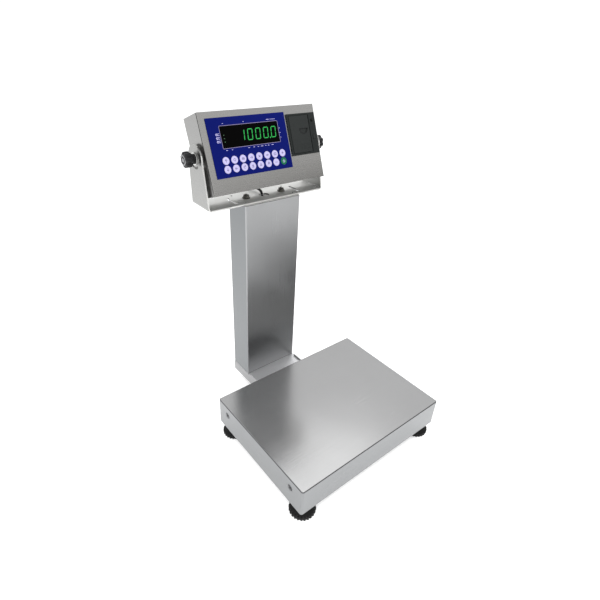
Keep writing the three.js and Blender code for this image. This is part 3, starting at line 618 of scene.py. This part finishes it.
def make_column():
    c = COLUMN

    def ring(inset, z):
        outline = rounded(c["w"] - 2 * inset, c["d"] - 2 * inset, c["corner"] - min(inset, 1.7), 8)
        return at_height(outline, z, 0, c["middle"])

    rings = [ring(0.5, c["z0"]), ring(0, c["z0"] + 0.5), ring(0, c["z1"] - 0.3), ring(0.3, c["z1"])]
    rings += [ring(c["wall"], c["z1"]), ring(c["wall"], c["z0"] + 5)]
    hole = [(COLUMN_BOLTS["hole"], 40), (COLUMN_BOLTS["hole"], 60)]
    holes = [
        lathe(bmesh.new(), hole, 24, Matrix.Translation((side * COLUMN_BOLTS["x"], c["middle"], 0)))
        for side in (-1, 1)
    ]
    holes.append(block(bmesh.new(), **COLUMN_CABLE_WAY))
    bm = combined(loft(bmesh.new(), rings), holes)
    tube = piece("column_tube", bm, SCALE, steel_column, "base", "brushed_steel", replaces=["column"],
                 sharp=50)
    # painted shade: faces that look along X take the darker steel
    retouch(tube, steel_column_painted_side_shade, lambda normal: abs(normal.x) > 0.9)


make_column()
# painted light: the top plate takes the lighter steel
dress(["column_top_plate"], steel_floor_painted_light, 0.4)

# ---- U bracket ----
BRACKET = {"z0": 498.3, "t": 3, "front": 232, "back": 300, "inner": 143, "arm": 26.5, "bend": 2.6}
BEYOND = 5  # how far a cutting tool reaches past the sheet
CABLE_Y = 262  # the cable hole's middle, which the arc slots turn about
CABLE_HOLE_R = 11
ARC_SLOT = {"r": 83, "width": 5.5, "reach": math.radians(12)}
ARM_SLOT = {"radius": 17, "width": 5, "start": -2.1, "end": -1.05}
SMALL_HOLES = ((-62, 242), (62, 242), (-66, 291), (66, 291))
SMALL_HOLE_R, PIVOT_HOLE_R = 2.5, 4.5


def arc_points(centre, radius, start, end, steps):
    points = [polar(radius, start + (end - start) * i / steps) for i in range(steps + 1)]
    return [(centre[0] + x, centre[1] + y) for x, y in points]


def slot_outline(radius, width, start, end, steps=10):
    """A slot with round ends, curved about the origin."""
    half = width / 2
    points = arc_points((0, 0), radius + half, start, end, steps)
    for angle, base in ((end, end), (start, start + math.pi)):
        cap = arc_points(polar(radius, angle), half, base, base + math.pi, 8)
        points += cap[1:-1]
        if angle == end:
            points += arc_points((0, 0), radius - half, end, start, steps)
    return points


def make_bracket():
    b = BRACKET
    left, right = PIVOT[0] - b["inner"] - b["t"], PIVOT[0] + b["inner"] + b["t"]
    top = PIVOT[2] + b["arm"] + 2
    r_in, r_out = b["bend"], b["bend"] + b["t"]
    low = b["z0"]
    across = (left - BEYOND, right + BEYOND)
    outline = [(left, top)]
    outline += arc_points((left + r_out, low + r_out), r_out, math.pi, 1.5 * math.pi, 8)
    outline += arc_points((right - r_out, low + r_out), r_out, 1.5 * math.pi, 2 * math.pi, 8)
    outline += [(right, top), (right - b["t"], top)]
    outline += arc_points((right - r_out, low + r_out), r_in, 2 * math.pi, 1.5 * math.pi, 8)
    outline += arc_points((left + r_out, low + r_out), r_in, 1.5 * math.pi, math.pi, 8)
    outline += [(left + b["t"], top)]
    sheet = prism(bmesh.new(), outline, b["front"] - BEYOND, b["back"] + BEYOND)
    side = [(b["front"], low - 1), (b["back"], low - 1), (b["back"], low)]
    side += arc_points((PIVOT[1], PIVOT[2]), b["arm"], -0.08, math.pi + 0.12, 32) + [(b["front"], low)]
    arm = loft(bmesh.new(), [[Vector((x, y, z)) for y, z in side] for x in across])
    sheet = combined(sheet, [arm], "INTERSECT")
    tools = []
    through_floor = (low - 2 * BEYOND, low + 2 * BEYOND)
    for turn in (0, math.pi):
        start, end = turn - ARC_SLOT["reach"], turn + ARC_SLOT["reach"]
        points = slot_outline(ARC_SLOT["r"], ARC_SLOT["width"], start, end)
        tools.append(loft(bmesh.new(), [at_height(points, z, 0, CABLE_Y) for z in through_floor]))
    for x, y, r in (*((x, y, SMALL_HOLE_R) for x, y in SMALL_HOLES), (0, CABLE_Y, CABLE_HOLE_R)):
        tools.append(lathe(bmesh.new(), [(r, z) for z in through_floor], 36, Matrix.Translation((x, y, 0))))
    through_arms = Matrix.Translation(PIVOT) @ ALONG_X
    tools.append(lathe(bmesh.new(), [(PIVOT_HOLE_R, -160), (PIVOT_HOLE_R, 160)], 28, through_arms))
    slot = [(PIVOT[1] + y, PIVOT[2] + z) for y, z in slot_outline(**ARM_SLOT)]
    tools.append(loft(bmesh.new(), [[Vector((x, y, z)) for y, z in slot] for x in across]))
    sheet = combined(sheet, tools)
    bracket = piece("bracket_sheet", sheet, SCALE, steel_arm, "base", "brushed_steel", edge=0.35,
                    replaces=["indicator_bracket"])
    # painted light: the floor and the front edges take the lighter steel
    retouch(bracket, steel_floor_painted_light, lambda normal: normal.z > 0.9 or normal.y < -0.9)


BRACKET_BOLT = {"x": 46, "y": 263, "tip": 486}
AXIS_R = 0.4  # a turned shape starts this far from its axis, so that no faces collapse


def lifted(profile, z):
    return [(r, z + up) for r, up in profile]


def make_bracket_bolt(side, hand):
    seat, tip = BRACKET["z0"] + BRACKET["t"] + 0.1, BRACKET_BOLT["tip"]
    place = SCALE @ Matrix.Translation((side * BRACKET_BOLT["x"], BRACKET_BOLT["y"], 0))
    bm = bmesh.new()
    head = [(AXIS_R, 1.3), (7.0, 1.3), (7.3, 1.8), (7.3, 5.6), (6.4, 6.8), (AXIS_R, 6.8)]
    washer = [(AXIS_R, 0), (8.6, 0), (8.8, 0.3), (8.8, 1.2), (AXIS_R, 1.3)]
    stub = [(AXIS_R, 6.7), (3.6, 6.7), (3.6, 7.6), (3.0, 8), (AXIS_R, 8)]
    lathe(bm, lifted(head, seat), 6)
    lathe(bm, lifted(washer, seat), 36)
    lathe(bm, [(AXIS_R, tip), (3.6, tip), (4, tip + 0.6), (4, seat), (AXIS_R, seat)], 24)
    lathe(bm, lifted(stub, seat), 24)
    name = "bracket_bolt_" + hand
    piece(name + "_hex", bm, place, bolt_steel, "base", "dark_steel", replaces=[name], sharp=30)


make_bracket()
make_bracket_bolt(-1, "left")
make_bracket_bolt(1, "right")

# ---- indicator housing ----
dress(["housing_rear"], steel_housing, 1.0, 3)
dress(["housing_gasket"], rubber, 0.2)
dress(["membrane_overlay"], blue_film, 0.12, 1)
dress(["display_window"], dark_pane, 0.2, 1)
dress(["display_module", "main_board"], circuit_board, 0.2, 1)
dress(["printer_body"], charcoal_dark, 0.6, 2)
dress(["printer_door"], charcoal, 0.45, 2)
dress(["feed_button"], charcoal, 0.8, 3)
dress(["platen_roller"], rubber, 0.3)
dress(["paper_roll"], paper, 0.3)
dress(["knob_washer_left", "knob_washer_right"], bright_steel, 0.4)

FILM_FRONT = FACE_Y - 1.0
WINDOW = {"left": 39.5, "right": 173.3, "top": 28.3, "bottom": 68}
WINDOW_PLAY = 0.6
PRINTER_HOLE = {"left": 200.5, "right": 271.5, "top": 20.3, "bottom": 98.2}
PANEL = {"w": 276, "h": 153, "t": 2}
INK = 0.07


def face_piece(name, bm, material, slot, body="indicator", **more):
    return piece(name, bm, FACE, material, body, slot, **more)


def grid_plate(bm, xs, zs, y0, y1, holes):
    """A plate over the cells between the given lines, without the cells named in holes."""
    front = {}
    back = {}
    for i, x in enumerate(xs):
        for j, z in enumerate(zs):
            front[i, j] = bm.verts.new((x, y0, z))
            back[i, j] = bm.verts.new((x, y1, z))
    cells = {(i, j) for i in range(len(xs) - 1) for j in range(len(zs) - 1)} - set(holes)
    for i, j in cells:
        corners = [(i, j), (i + 1, j), (i + 1, j + 1), (i, j + 1)]
        bm.faces.new([front[c] for c in corners])
        bm.faces.new([back[c] for c in reversed(corners)])
        for step, (a, b) in (((0, -1), (0, 1)), ((1, 0), (1, 2)), ((0, 1), (2, 3)), ((-1, 0), (3, 0))):
            if (i + step[0], j + step[1]) not in cells:
                bm.faces.new([front[corners[b]], front[corners[a]], back[corners[a]], back[corners[b]]])
    loose = [v for v in bm.verts if not v.link_faces]
    bmesh.ops.delete(bm, geom=loose, context="VERTS")
    return bm


def make_front_panel():
    w, h, play = WINDOW, PRINTER_HOLE, WINDOW_PLAY
    from_left = (0, w["left"] - play, w["right"] + play, h["left"], h["right"], PANEL["w"])
    from_top = (PANEL["h"], h["bottom"], w["bottom"] + play, w["top"] - play, h["top"], 0)
    xs = [face_point(v, 0)[0] for v in from_left]
    zs = [face_point(0, v)[1] for v in from_top]
    window, printer = [(1, 2)], [(3, j) for j in (1, 2, 3)]
    plate = grid_plate(bmesh.new(), xs, zs, FACE_Y, FACE_Y + PANEL["t"], window + printer)
    face_piece("front_sheet", plate, steel_panel, "brushed_steel", edge=0.7, segments=3,
               replaces=["front_panel"])


def make_window_border():
    """A thin printed line round the window."""
    x0, z1 = face_point(WINDOW["left"], WINDOW["top"])
    x1, z0 = face_point(WINDOW["right"], WINDOW["bottom"])
    inner, outer = 0.5, 1.25
    y0, y1 = FILM_FRONT + 0.02, FILM_FRONT - INK
    rings = []
    for grow, y in ((inner, y0), (inner, y1), (outer, y1), (outer, y0)):
        outline = rounded(x1 - x0 + 2 * grow, z1 - z0 + 2 * grow, 0.6 + grow, 3)
        rings.append([Vector((x + (x0 + x1) / 2, y, z + (z0 + z1) / 2)) for x, z in outline])
    face_piece("window_border", loft(bmesh.new(), rings, caps=False), border_print, "key_film")


DIGIT = {"w": 12.0, "h": 21.5, "t": 1.6, "gap": 0.35, "slant": 0.1}
DIGIT |= {"pitch": 18.7, "right": 166.6, "middle": 47.8}
LIT = {"1": "bc", "0": "abcdef"}
POINT_R, STATUS_R = 1.35, 0.85
STATUS_X, STATUS_ROWS = 46, (44.6, 50.8, 57)


def disc(radius, sides, x, y, z, thick):
    """A flat disc on the face, towards the viewer from y."""
    place = Matrix.Translation((x, y, z)) @ TOWARDS_FRONT
    return lathe(bmesh.new(), [(radius, 0), (radius, thick)], sides, place)


def segment(bm, a, b, thickness, y0, y1, lean):
    """A six-sided display segment between two points."""
    a, b = Vector(a), Vector(b)
    along = (b - a).normalized()
    side = Vector((-along.y, along.x)) * thickness / 2
    tip = along * thickness / 2
    points = [a, a + tip + side, b - tip + side, b, b - tip - side, a + tip - side]
    prism(bm, [(p.x + lean * p.y, p.y) for p in points], y0, y1)


def make_digits():
    d = DIGIT
    y0, y1 = FACE_Y - 0.96, FACE_Y - 0.905
    half_w, half_h = (d["w"] - d["t"]) / 2, (d["h"] - d["t"]) / 2
    ends = {
        "a": ((-half_w, half_h), (half_w, half_h)),
        "b": ((half_w, half_h), (half_w, 0)),
        "c": ((half_w, 0), (half_w, -half_h)),
        "d": ((half_w, -half_h), (-half_w, -half_h)),
        "e": ((-half_w, -half_h), (-half_w, 0)),
        "f": ((-half_w, 0), (-half_w, half_h)),
    }
    _, middle = face_point(0, d["middle"])
    for place, shown in enumerate("10000"):
        x, _ = face_point(d["right"] - d["w"] / 2 - (4 - place) * d["pitch"], 0)
        bm = bmesh.new()
        for letter in LIT[shown]:
            a, b = (Vector(p) for p in ends[letter])
            inwards = (b - a).normalized() * d["gap"]
            segment(bm, a + inwards, b - inwards, d["t"], y0, y1, d["slant"])
        bmesh.ops.translate(bm, verts=bm.verts, vec=(x, 0, middle))
        face_piece(f"digit_{place + 1}", bm, digit_glow, "dark_pane")
    x, _ = face_point(d["right"] - d["w"] - 3.6, 0)
    point = disc(POINT_R, 20, x, y1, middle - half_h - 0.3, y1 - y0)
    face_piece("digit_point", point, digit_glow, "dark_pane")
    for i, fy in enumerate(STATUS_ROWS):
        x, z = face_point(STATUS_X, fy)
        face_piece(f"status_dot_{i + 1}", disc(STATUS_R, 16, x, y1, z, y1 - y0), dot_glow, "dark_pane")


# Small printed dashes round the window: where from the left, and how long.
ABOVE, BELOW, RIGHT = 23.6, 72.4, 176.8
DASHES_ABOVE = ((149, 1.6), (154.5, 1.2), (158.6, 1.8), (163, 3.4), (167.8, 2.2))
DASHES_BELOW = ((96, 3), (108, 3), (118, 2), (127, 4.6), (136, 2), (143, 3), (153, 4), (46, 3), (58, 2))
DASHES_RIGHT = (42, 51, 60)
LONE_DASHES = ((48, 1.4), (94, 1.4))
EMBLEM_X, EMBLEM_ROWS = 32.6, (42.5, 49, 55.5)


def make_film_marks():
    """Small printed marks round the window, and a plain emblem on its left."""
    y0, y1 = FILM_FRONT + 0.02, FILM_FRONT - INK
    bm = bmesh.new()
    dashes = [(x, ABOVE, length) for x, length in DASHES_ABOVE]
    dashes += [(x, BELOW, length) for x, length in DASHES_BELOW]
    dashes += [(RIGHT, y, 1.6) for y in DASHES_RIGHT]
    dashes += [(x, ABOVE, length) for x, length in LONE_DASHES]
    for fx, fy, length in dashes:
        x, z = face_point(fx, fy)
        bar(bm, (x - length / 2, z), (x + length / 2, z), 0.8, y0, y1)
    x, z = face_point(151.6, 23.2)
    prism(bm, [(x - 1.1, z - 1), (x + 1.1, z - 1), (x, z + 1.4)], y0, y1)
    face_piece("film_marks", bm, print_white, "key_film")
    bm = bmesh.new()
    for fy in EMBLEM_ROWS:
        x, z = face_point(EMBLEM_X, fy)
        arc_bar(bm, (x - 1.9, z), 1.7, 1.0, 0, 2 * math.pi, y0, y1, 20)
        bar(bm, (x + 1.2, z + 1.5), (x + 3.4, z + 1.5), 0.9, y0, y1)
        bar(bm, (x + 1.2, z - 1.5), (x + 3.4, z - 1.5), 0.9, y0, y1)
    face_piece("film_emblem", bm, print_white, "key_film")


KEY = {"left": 39, "pitch": 19.2, "rows": (91, 107.4), "r": 7.3, "back": -32.75, "front": -33.6}
# Each icon is a list of strokes: lists of points, or ("arc", x, z, radius, start, end).
TURN = 2 * math.pi
ICONS = {
    "a1": [[(0, -2), (0, 2)], [(-1.5, 0.6), (0, 2), (1.5, 0.6)]],
    "a2": [("arc", 0, 0, 1.9, 0, TURN)],
    "a3": [[(-2, 1.2), (2, 1.2)], [(-2, 0), (2, 0)], [(-2, -1.2), (2, -1.2)]],
    "a4": [[(-2, 0), (2, 0)], [(0.6, 1.5), (2, 0), (0.6, -1.5)]],
    "a5": [[(-1.6, -1.6), (1.6, 1.6)], [(-1.6, 1.6), (1.6, -1.6)]],
    "a6": [[(-2.6, 0), (-0.9, 0)], [(0.9, 0), (2.6, 0)], ("arc", 0, 0, 0.8, 0, TURN)],
    "a7": [[(-2, -1.5), (-2, 1.5), (2, 1.5), (2, -1.5), (-2, -1.5)]],
    "a8": [[(0, -2), (0, 2)], [(-2, 0), (2, 0)]],
    "b1": [[(0, 2), (0, -2)], [(-1.5, -0.6), (0, -2), (1.5, -0.6)]],
    "b2": [[(2, 0), (-2, 0)], [(-0.6, 1.5), (-2, 0), (-0.6, -1.5)]],
    "b3": [("arc", 0, 0, 1.8, 0.6, 5.2), [(0.2, 1.2), (1.5, 1.0), (1.7, 2.3)]],
    "b4": [[(-1.8, -2), (1.8, -2)], [(0, 2), (0, -0.8)], [(-1.3, 0.4), (0, -0.8), (1.3, 0.4)]],
    "b5": [[(-1.7, -1.7), (0, 1.8), (1.7, -1.7), (-1.7, -1.7)]],
    "b6": [[(-1.8, -1.5), (0, 0.1), (1.8, -1.5)], [(-1.8, 0.3), (0, 1.9), (1.8, 0.3)]],
    "b7": [[(-2, 0), (2, 0)]],
    "b8": [("arc", 0, -0.2, 1.9, 2.2, 7.2), [(0, 0.4), (0, 2.3)]],
}
ICON_SCALE, STROKE = 1.25, 0.8


def make_key(code, fx, fy):
    k = KEY
    x, z = face_point(fx, fy)
    node = "key_" + code
    green = code == "b8"
    depth = k["back"] - k["front"]
    place = Matrix.Translation((x, k["back"], z)) @ TOWARDS_FRONT
    r = k["r"]
    dome = [(0.3, 0), (r, 0), (r, depth * 0.45), (r - 0.25, depth * 0.72), (r - 0.8, depth * 0.9)]
    dome += [(r - 1.6, depth * 0.97), (r - 3, depth), (0.3, depth)]
    film, slot = (green_film, "green_key_film") if green else (key_film, "key_film")
    cap = lathe(bmesh.new(), dome, 40, place)
    piece("cap_" + code, cap, FACE, film, node, slot, replaces=[node], sharp=50)
    bm = bmesh.new()
    y0, y1 = k["front"] + 0.04, k["front"] - 0.05
    for stroke in ICONS[code]:
        if stroke[0] == "arc":
            _, cx, cz, radius, start, end = stroke
            middle = (x + cx * ICON_SCALE, z + cz * ICON_SCALE)
            arc_bar(bm, middle, radius * ICON_SCALE, STROKE, start, end, y0, y1)
            continue
        points = [(x + px * ICON_SCALE, z + pz * ICON_SCALE) for px, pz in stroke]
        for a, b in zip(points, points[1:]):
            bar(bm, a, b, STROKE, y0, y1)
    face_piece("icon_" + code, bm, print_white if green else print_dark, "key_film", body=node)


make_front_panel()
make_window_border()
make_digits()
make_film_marks()
for row, fy in zip("ab", KEY["rows"]):
    for column in range(8):
        make_key(f"{row}{column + 1}", KEY["left"] + KEY["pitch"] * column, fy)

# ---- printer details ----
LAMP = (263.6, 33.5)
FINGER_RECESS = {"place": (237.5, 48), "r": 11.1, "half": 10.6}
DOOR_RIBS = {"left": 226, "right": 249, "rows": (80, 84, 88)}
DOOR_FRONT = -35.4
RIM_FRONT = FACE_Y - 2.5


def make_printer_details():
    x, z = face_point(*LAMP)
    place = Matrix.Translation((x, RIM_FRONT + 0.1, z)) @ TOWARDS_FRONT
    lens = [(0.3, 0), (3.2, 0), (3.2, 0.3), (2.7, 0.7), (1.5, 0.95), (0.3, 1.0)]
    face_piece("printer_lamp", lathe(bmesh.new(), lens, 28, place), lamp_lens, "dark_pane", sharp=60)
    bm = bmesh.new()
    y0, y1 = DOOR_FRONT + 0.05, DOOR_FRONT - 0.35
    x, z = face_point(*FINGER_RECESS["place"])
    half = FINGER_RECESS["half"]
    arc_bar(bm, (x, z), FINGER_RECESS["r"], 1.0, math.pi, 2 * math.pi, y0, y1, 24)
    bar(bm, (x - half, z), (x + half, z), 0.9, y0, y1)
    face_piece("printer_door_lip", bm, black_plastic, "black_plastic", body="printer_door")
    bm = bmesh.new()
    for fy in DOOR_RIBS["rows"]:
        (xa, za), (xb, _) = face_point(DOOR_RIBS["left"], fy), face_point(DOOR_RIBS["right"], fy)
        bar(bm, (xa, za), (xb, za), 1.2, y0, DOOR_FRONT - 0.3)
    face_piece("printer_door_ribs", bm, charcoal, "charcoal_plastic", body="printer_door")


make_printer_details()

# ---- knobs and glands ----
KNOB = {"from": 148.6, "grip": 155.4, "end": 170.6, "r": 15.4, "lobes": 7, "dip": 2.6}
KNOB_SIDES = 18 * KNOB["lobes"]


def star(radius, sides):
    """A knob's outline, with wide lobes and narrow dips between them."""
    dip = KNOB["dip"] * radius / KNOB["r"]
    points = []
    for a in turns(sides):
        wave = 0.5 + 0.5 * math.cos(KNOB["lobes"] * a)
        points.append(polar(radius - dip * (1 - wave ** 0.6), a))
    return points


def make_knob(side, hand):
    k = KNOB
    place = FACE @ (ALONG_X if side > 0 else Matrix.Rotation(-math.pi / 2, 4, "Y"))
    name = "knob_" + hand
    low, base, end, r = k["from"], k["grip"], k["end"], k["r"]
    bm = bmesh.new()
    lathe(bm, [(0.5, low), (9.2, low), (9.6, low + 0.6), (9.6, base + 2), (0.5, base + 2)], 40)
    grip = [(1, base), (r - 3, base), (r - 1, base + 0.8), (r, base + 2.4), (r, end - 4.4)]
    grip += [(r - 0.8, end - 2.6), (r - 2.4, end - 1.5), (r - 4.5, end - 1.2), (1, end - 1.2)]
    lathe(bm, grip, KNOB_SIDES, outline=star)
    piece(name + "_grip", bm, place, black_plastic, name, "black_plastic", replaces=[name], sharp=45)
    ring = [(7.4, -1.4), (9.6, -1.4), (9.6, -0.4), (9.2, 0), (7.8, 0), (7.4, -0.4)]
    nut = [(AXIS_R, -1.4), (4.2, -1.4), (4.2, -0.3), (3.8, 0), (AXIS_R, 0)]
    bm = bmesh.new()
    loft(bm, [at_height(circle(radius, 48), z) for radius, z in lifted(ring, end)], caps=False)
    lathe(bm, lifted(nut, end), 6)
    piece(name + "_ring", bm, place, knob_steel, name, "bright_steel", sharp=35)
    tip = 133.8
    stud = [(AXIS_R, tip), (3.6, tip), (4, tip + 0.5), (4, low + 2), (AXIS_R, low + 2)]
    piece(name + "_stud", lathe(bmesh.new(), stud, 24), place, bright_steel, name, "bright_steel", sharp=35)


GLAND = {"z": -25, "back": 26, "load": 2, "power": -58}


def ribbed(radius, sides):
    """A circle with a shallow groove at every other point."""
    return [polar(radius - 0.5 * (i % 2), a) for i, a in enumerate(turns(sides))]


def make_gland(name, x, plugged):
    """A gland's hexagon, stub, clamping nut and mouth, closed where it is plugged."""
    g = GLAND
    place = FACE @ Matrix.Translation((x, g["back"], g["z"])) @ Matrix.Rotation(-math.pi / 2, 4, "X")
    bm = bmesh.new()
    lathe(bm, [(0.5, 0.3), (10.4, 0.3), (11, 0.9), (11, 5.4), (10.4, 6), (0.5, 6)], 6)
    lathe(bm, [(0.5, -8), (5.6, -8), (6, -7.6), (6, 0.6), (0.5, 0.6)], 32)
    lathe(bm, [(1, 5.8), (9.4, 5.8), (9.6, 6.4), (9.4, 12.4), (8.6, 14.2), (1, 14.2)], 40, outline=ribbed)
    mouth = [(0.5, 14), (8, 14), (7.2, 17.2), (6, 19.5), (5.4, 20)]
    mouth += [(0.5, 20)] if plugged else [(3.1, 20), (2.9, 16), (0.5, 16)]
    lathe(bm, mouth, 36)
    piece(name + "_body", bm, place, black_plastic, "indicator", "black_plastic", replaces=[name], sharp=35)


make_knob(-1, "left")
make_knob(1, "right")
make_gland("gland_load_cell", GLAND["load"], False)
make_gland("gland_power", GLAND["power"], True)

# ---- load cell cable, where it is free between the bracket and the gland ----
CABLE = {"r": 2.75, "x": -4, "mouth": 46}
# The free loop's height along Y, from the hole in the bracket to below the gland.
CABLE_LOOP = (
    (265.4, 501), (266.6, 504.5), (271, 508), (280, 509.5),
    (296, 510), (314, 511), (327, 518), (333, 530),
)
CABLE_INTO_GLAND = ((14, -27.5), (6, -25), (0.3, -25))  # beyond the mouth, and height, on the housing


def from_face(x, y, z):
    """A point of the tilted housing, in the platter's frame."""
    return Matrix.Translation(PIVOT) @ Matrix.Rotation(-TILT, 4, "X") @ Vector((x, y, z))


def smooth_path(points, steps):
    """Points along a Catmull-Rom curve through the given ones."""
    points = [Vector(p) for p in points]
    padded = [2 * points[0] - points[1], *points, 2 * points[-1] - points[-2]]
    made = []
    for i in range(1, len(padded) - 2):
        a, b, c, d = padded[i - 1 : i + 3]
        for s in range(steps):
            t = s / steps
            square, cube = 2 * a - 5 * b + 4 * c - d, 3 * b - a - 3 * c + d
            made.append(0.5 * ((2 * b) + (c - a) * t + square * t * t + cube * t ** 3))
    return made + [points[-1]]


def tube(bm, path, radius, sides=16):
    """A round skin along a path that stays in a plane of constant X."""
    up = Vector((1, 0, 0))
    rings = []
    for i, p in enumerate(path):
        ahead = (path[min(i + 1, len(path) - 1)] - path[max(i - 1, 0)]).normalized()
        side = (up - ahead * up.dot(ahead)).normalized()
        other = ahead.cross(side)
        rings.append([p + radius * (side * math.cos(a) + other * math.sin(a)) for a in turns(sides)])
    return loft(bm, rings)


def make_cable():
    c = CABLE
    points = [(c["x"], y, z) for y, z in CABLE_LOOP]
    points += [from_face(GLAND["load"], c["mouth"] + y, z) for y, z in CABLE_INTO_GLAND]
    path = smooth_path(points, 6)
    bm = tube(bmesh.new(), path, c["r"])
    obj = piece("cable", bm, SCALE, cable_sheath, None, "cable_sheath", replaces=["cable_loop"], sharp=60)
    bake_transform(obj)


make_cable()


# ---- floor, sky and lights, in metres ----
FLOOR_REACH = 30


def sheet_of(name, corners):
    """An object of one face."""
    bm = bmesh.new()
    bm.faces.new([bm.verts.new(p) for p in corners])
    mesh = bpy.data.meshes.new(name)
    bm.to_mesh(mesh)
    bm.free()
    made = bpy.data.objects.new(name, mesh)
    scene.collection.objects.link(made)
    return made


def make_floor():
    r = FLOOR_REACH
    floor = sheet_of("floor", ((-r, -r, 0), (r, -r, 0), (r, r, 0), (-r, r, 0)))
    n = Nodes("floor_paint")
    n.fixed(Roughness=0.9, Specular_IOR_Level=0.1, Emission_Color=(1, 1, 1, 1), Emission_Strength=0.25)
    slow = n.noise(n.coords, scale=3, detail=3)
    n.coloured(n.mixed(n.ranged(slow, 0, 1), (0.93, 0.93, 0.93), (0.95, 0.95, 0.95)))
    floor.data.materials.append(n.material)


def make_world():
    world = bpy.data.worlds.new("studio")
    scene.world = world
    world.use_nodes = True
    background = world.node_tree.nodes["Background"]
    background.inputs["Color"].default_value = (0.99, 0.995, 1.0, 1)
    background.inputs["Strength"].default_value = 1.06


def make_light(name, place, target, size, power, mirrored=True):
    """A square soft light. Reflections show it only where it is mirrored."""
    data = bpy.data.lights.new(name, "AREA")
    data.shape, data.size, data.size_y = "RECTANGLE", size, size
    data.energy = power
    light = bpy.data.objects.new(name, data)
    light.visible_glossy = mirrored
    scene.collection.objects.link(light)
    light.location = place
    light.rotation_mode = "QUATERNION"
    light.rotation_quaternion = (Vector(target) - Vector(place)).to_track_quat("-Z", "Y")


def make_flag(name, x, y, z, shade):
    """A dark card that only reflections show, as a photographer's flag. It stands between two heights, or lies
    flat at one."""
    if isinstance(z, tuple):
        corners = ((x[0], y[0], z[0]), (x[1], y[1], z[0]), (x[1], y[1], z[1]), (x[0], y[0], z[1]))
    else:
        corners = ((x[0], y[0], z), (x[1], y[0], z), (x[1], y[1], z), (x[0], y[1], z))
    flag = sheet_of(name, corners)
    n = Nodes(name + "_cloth")
    n.fixed(Roughness=1.0, Specular_IOR_Level=0.0)
    slow = n.noise(n.coords, scale=4, detail=2)
    n.coloured(n.mixed(n.ranged(slow, 0, 1), shade, tinted(shade, 1.1)))
    flag.data.materials.append(n.material)
    flag.visible_camera = flag.visible_diffuse = flag.visible_shadow = False


make_floor()
make_world()
make_light("key", place=(-1.6, -1.2, 2.2), target=(0, 0, 0.2), size=1.6, power=50, mirrored=False)
make_light("fill", place=(2.0, -0.6, 1.6), target=(0, 0, 0.2), size=1.6, power=25, mirrored=False)
make_light("sheen", place=(0.55, 0.55, 1.75), target=(-0.2, -0.2, 0.1), size=0.9, power=2.2)
make_flag("flag_back", x=(-0.6, 2.6), y=(1.7, 1.2), z=(0.55, 1.0), shade=(0.22, 0.22, 0.22))
make_flag("flag_front", x=(0.2, 2.0), y=(-1.95, -0.75), z=(0.2, 1.02), shade=(0.09, 0.085, 0.075))
make_flag("flag_side", x=(0.22, 0.6), y=(-0.2, 0.12), z=0.004, shade=(0.10, 0.10, 0.10))
make_flag("flag_floor", x=(0.31, 1.0), y=(-0.62, 0.0), z=0.004, shade=(0.10, 0.10, 0.10))
scene.view_settings.view_transform = "Standard"
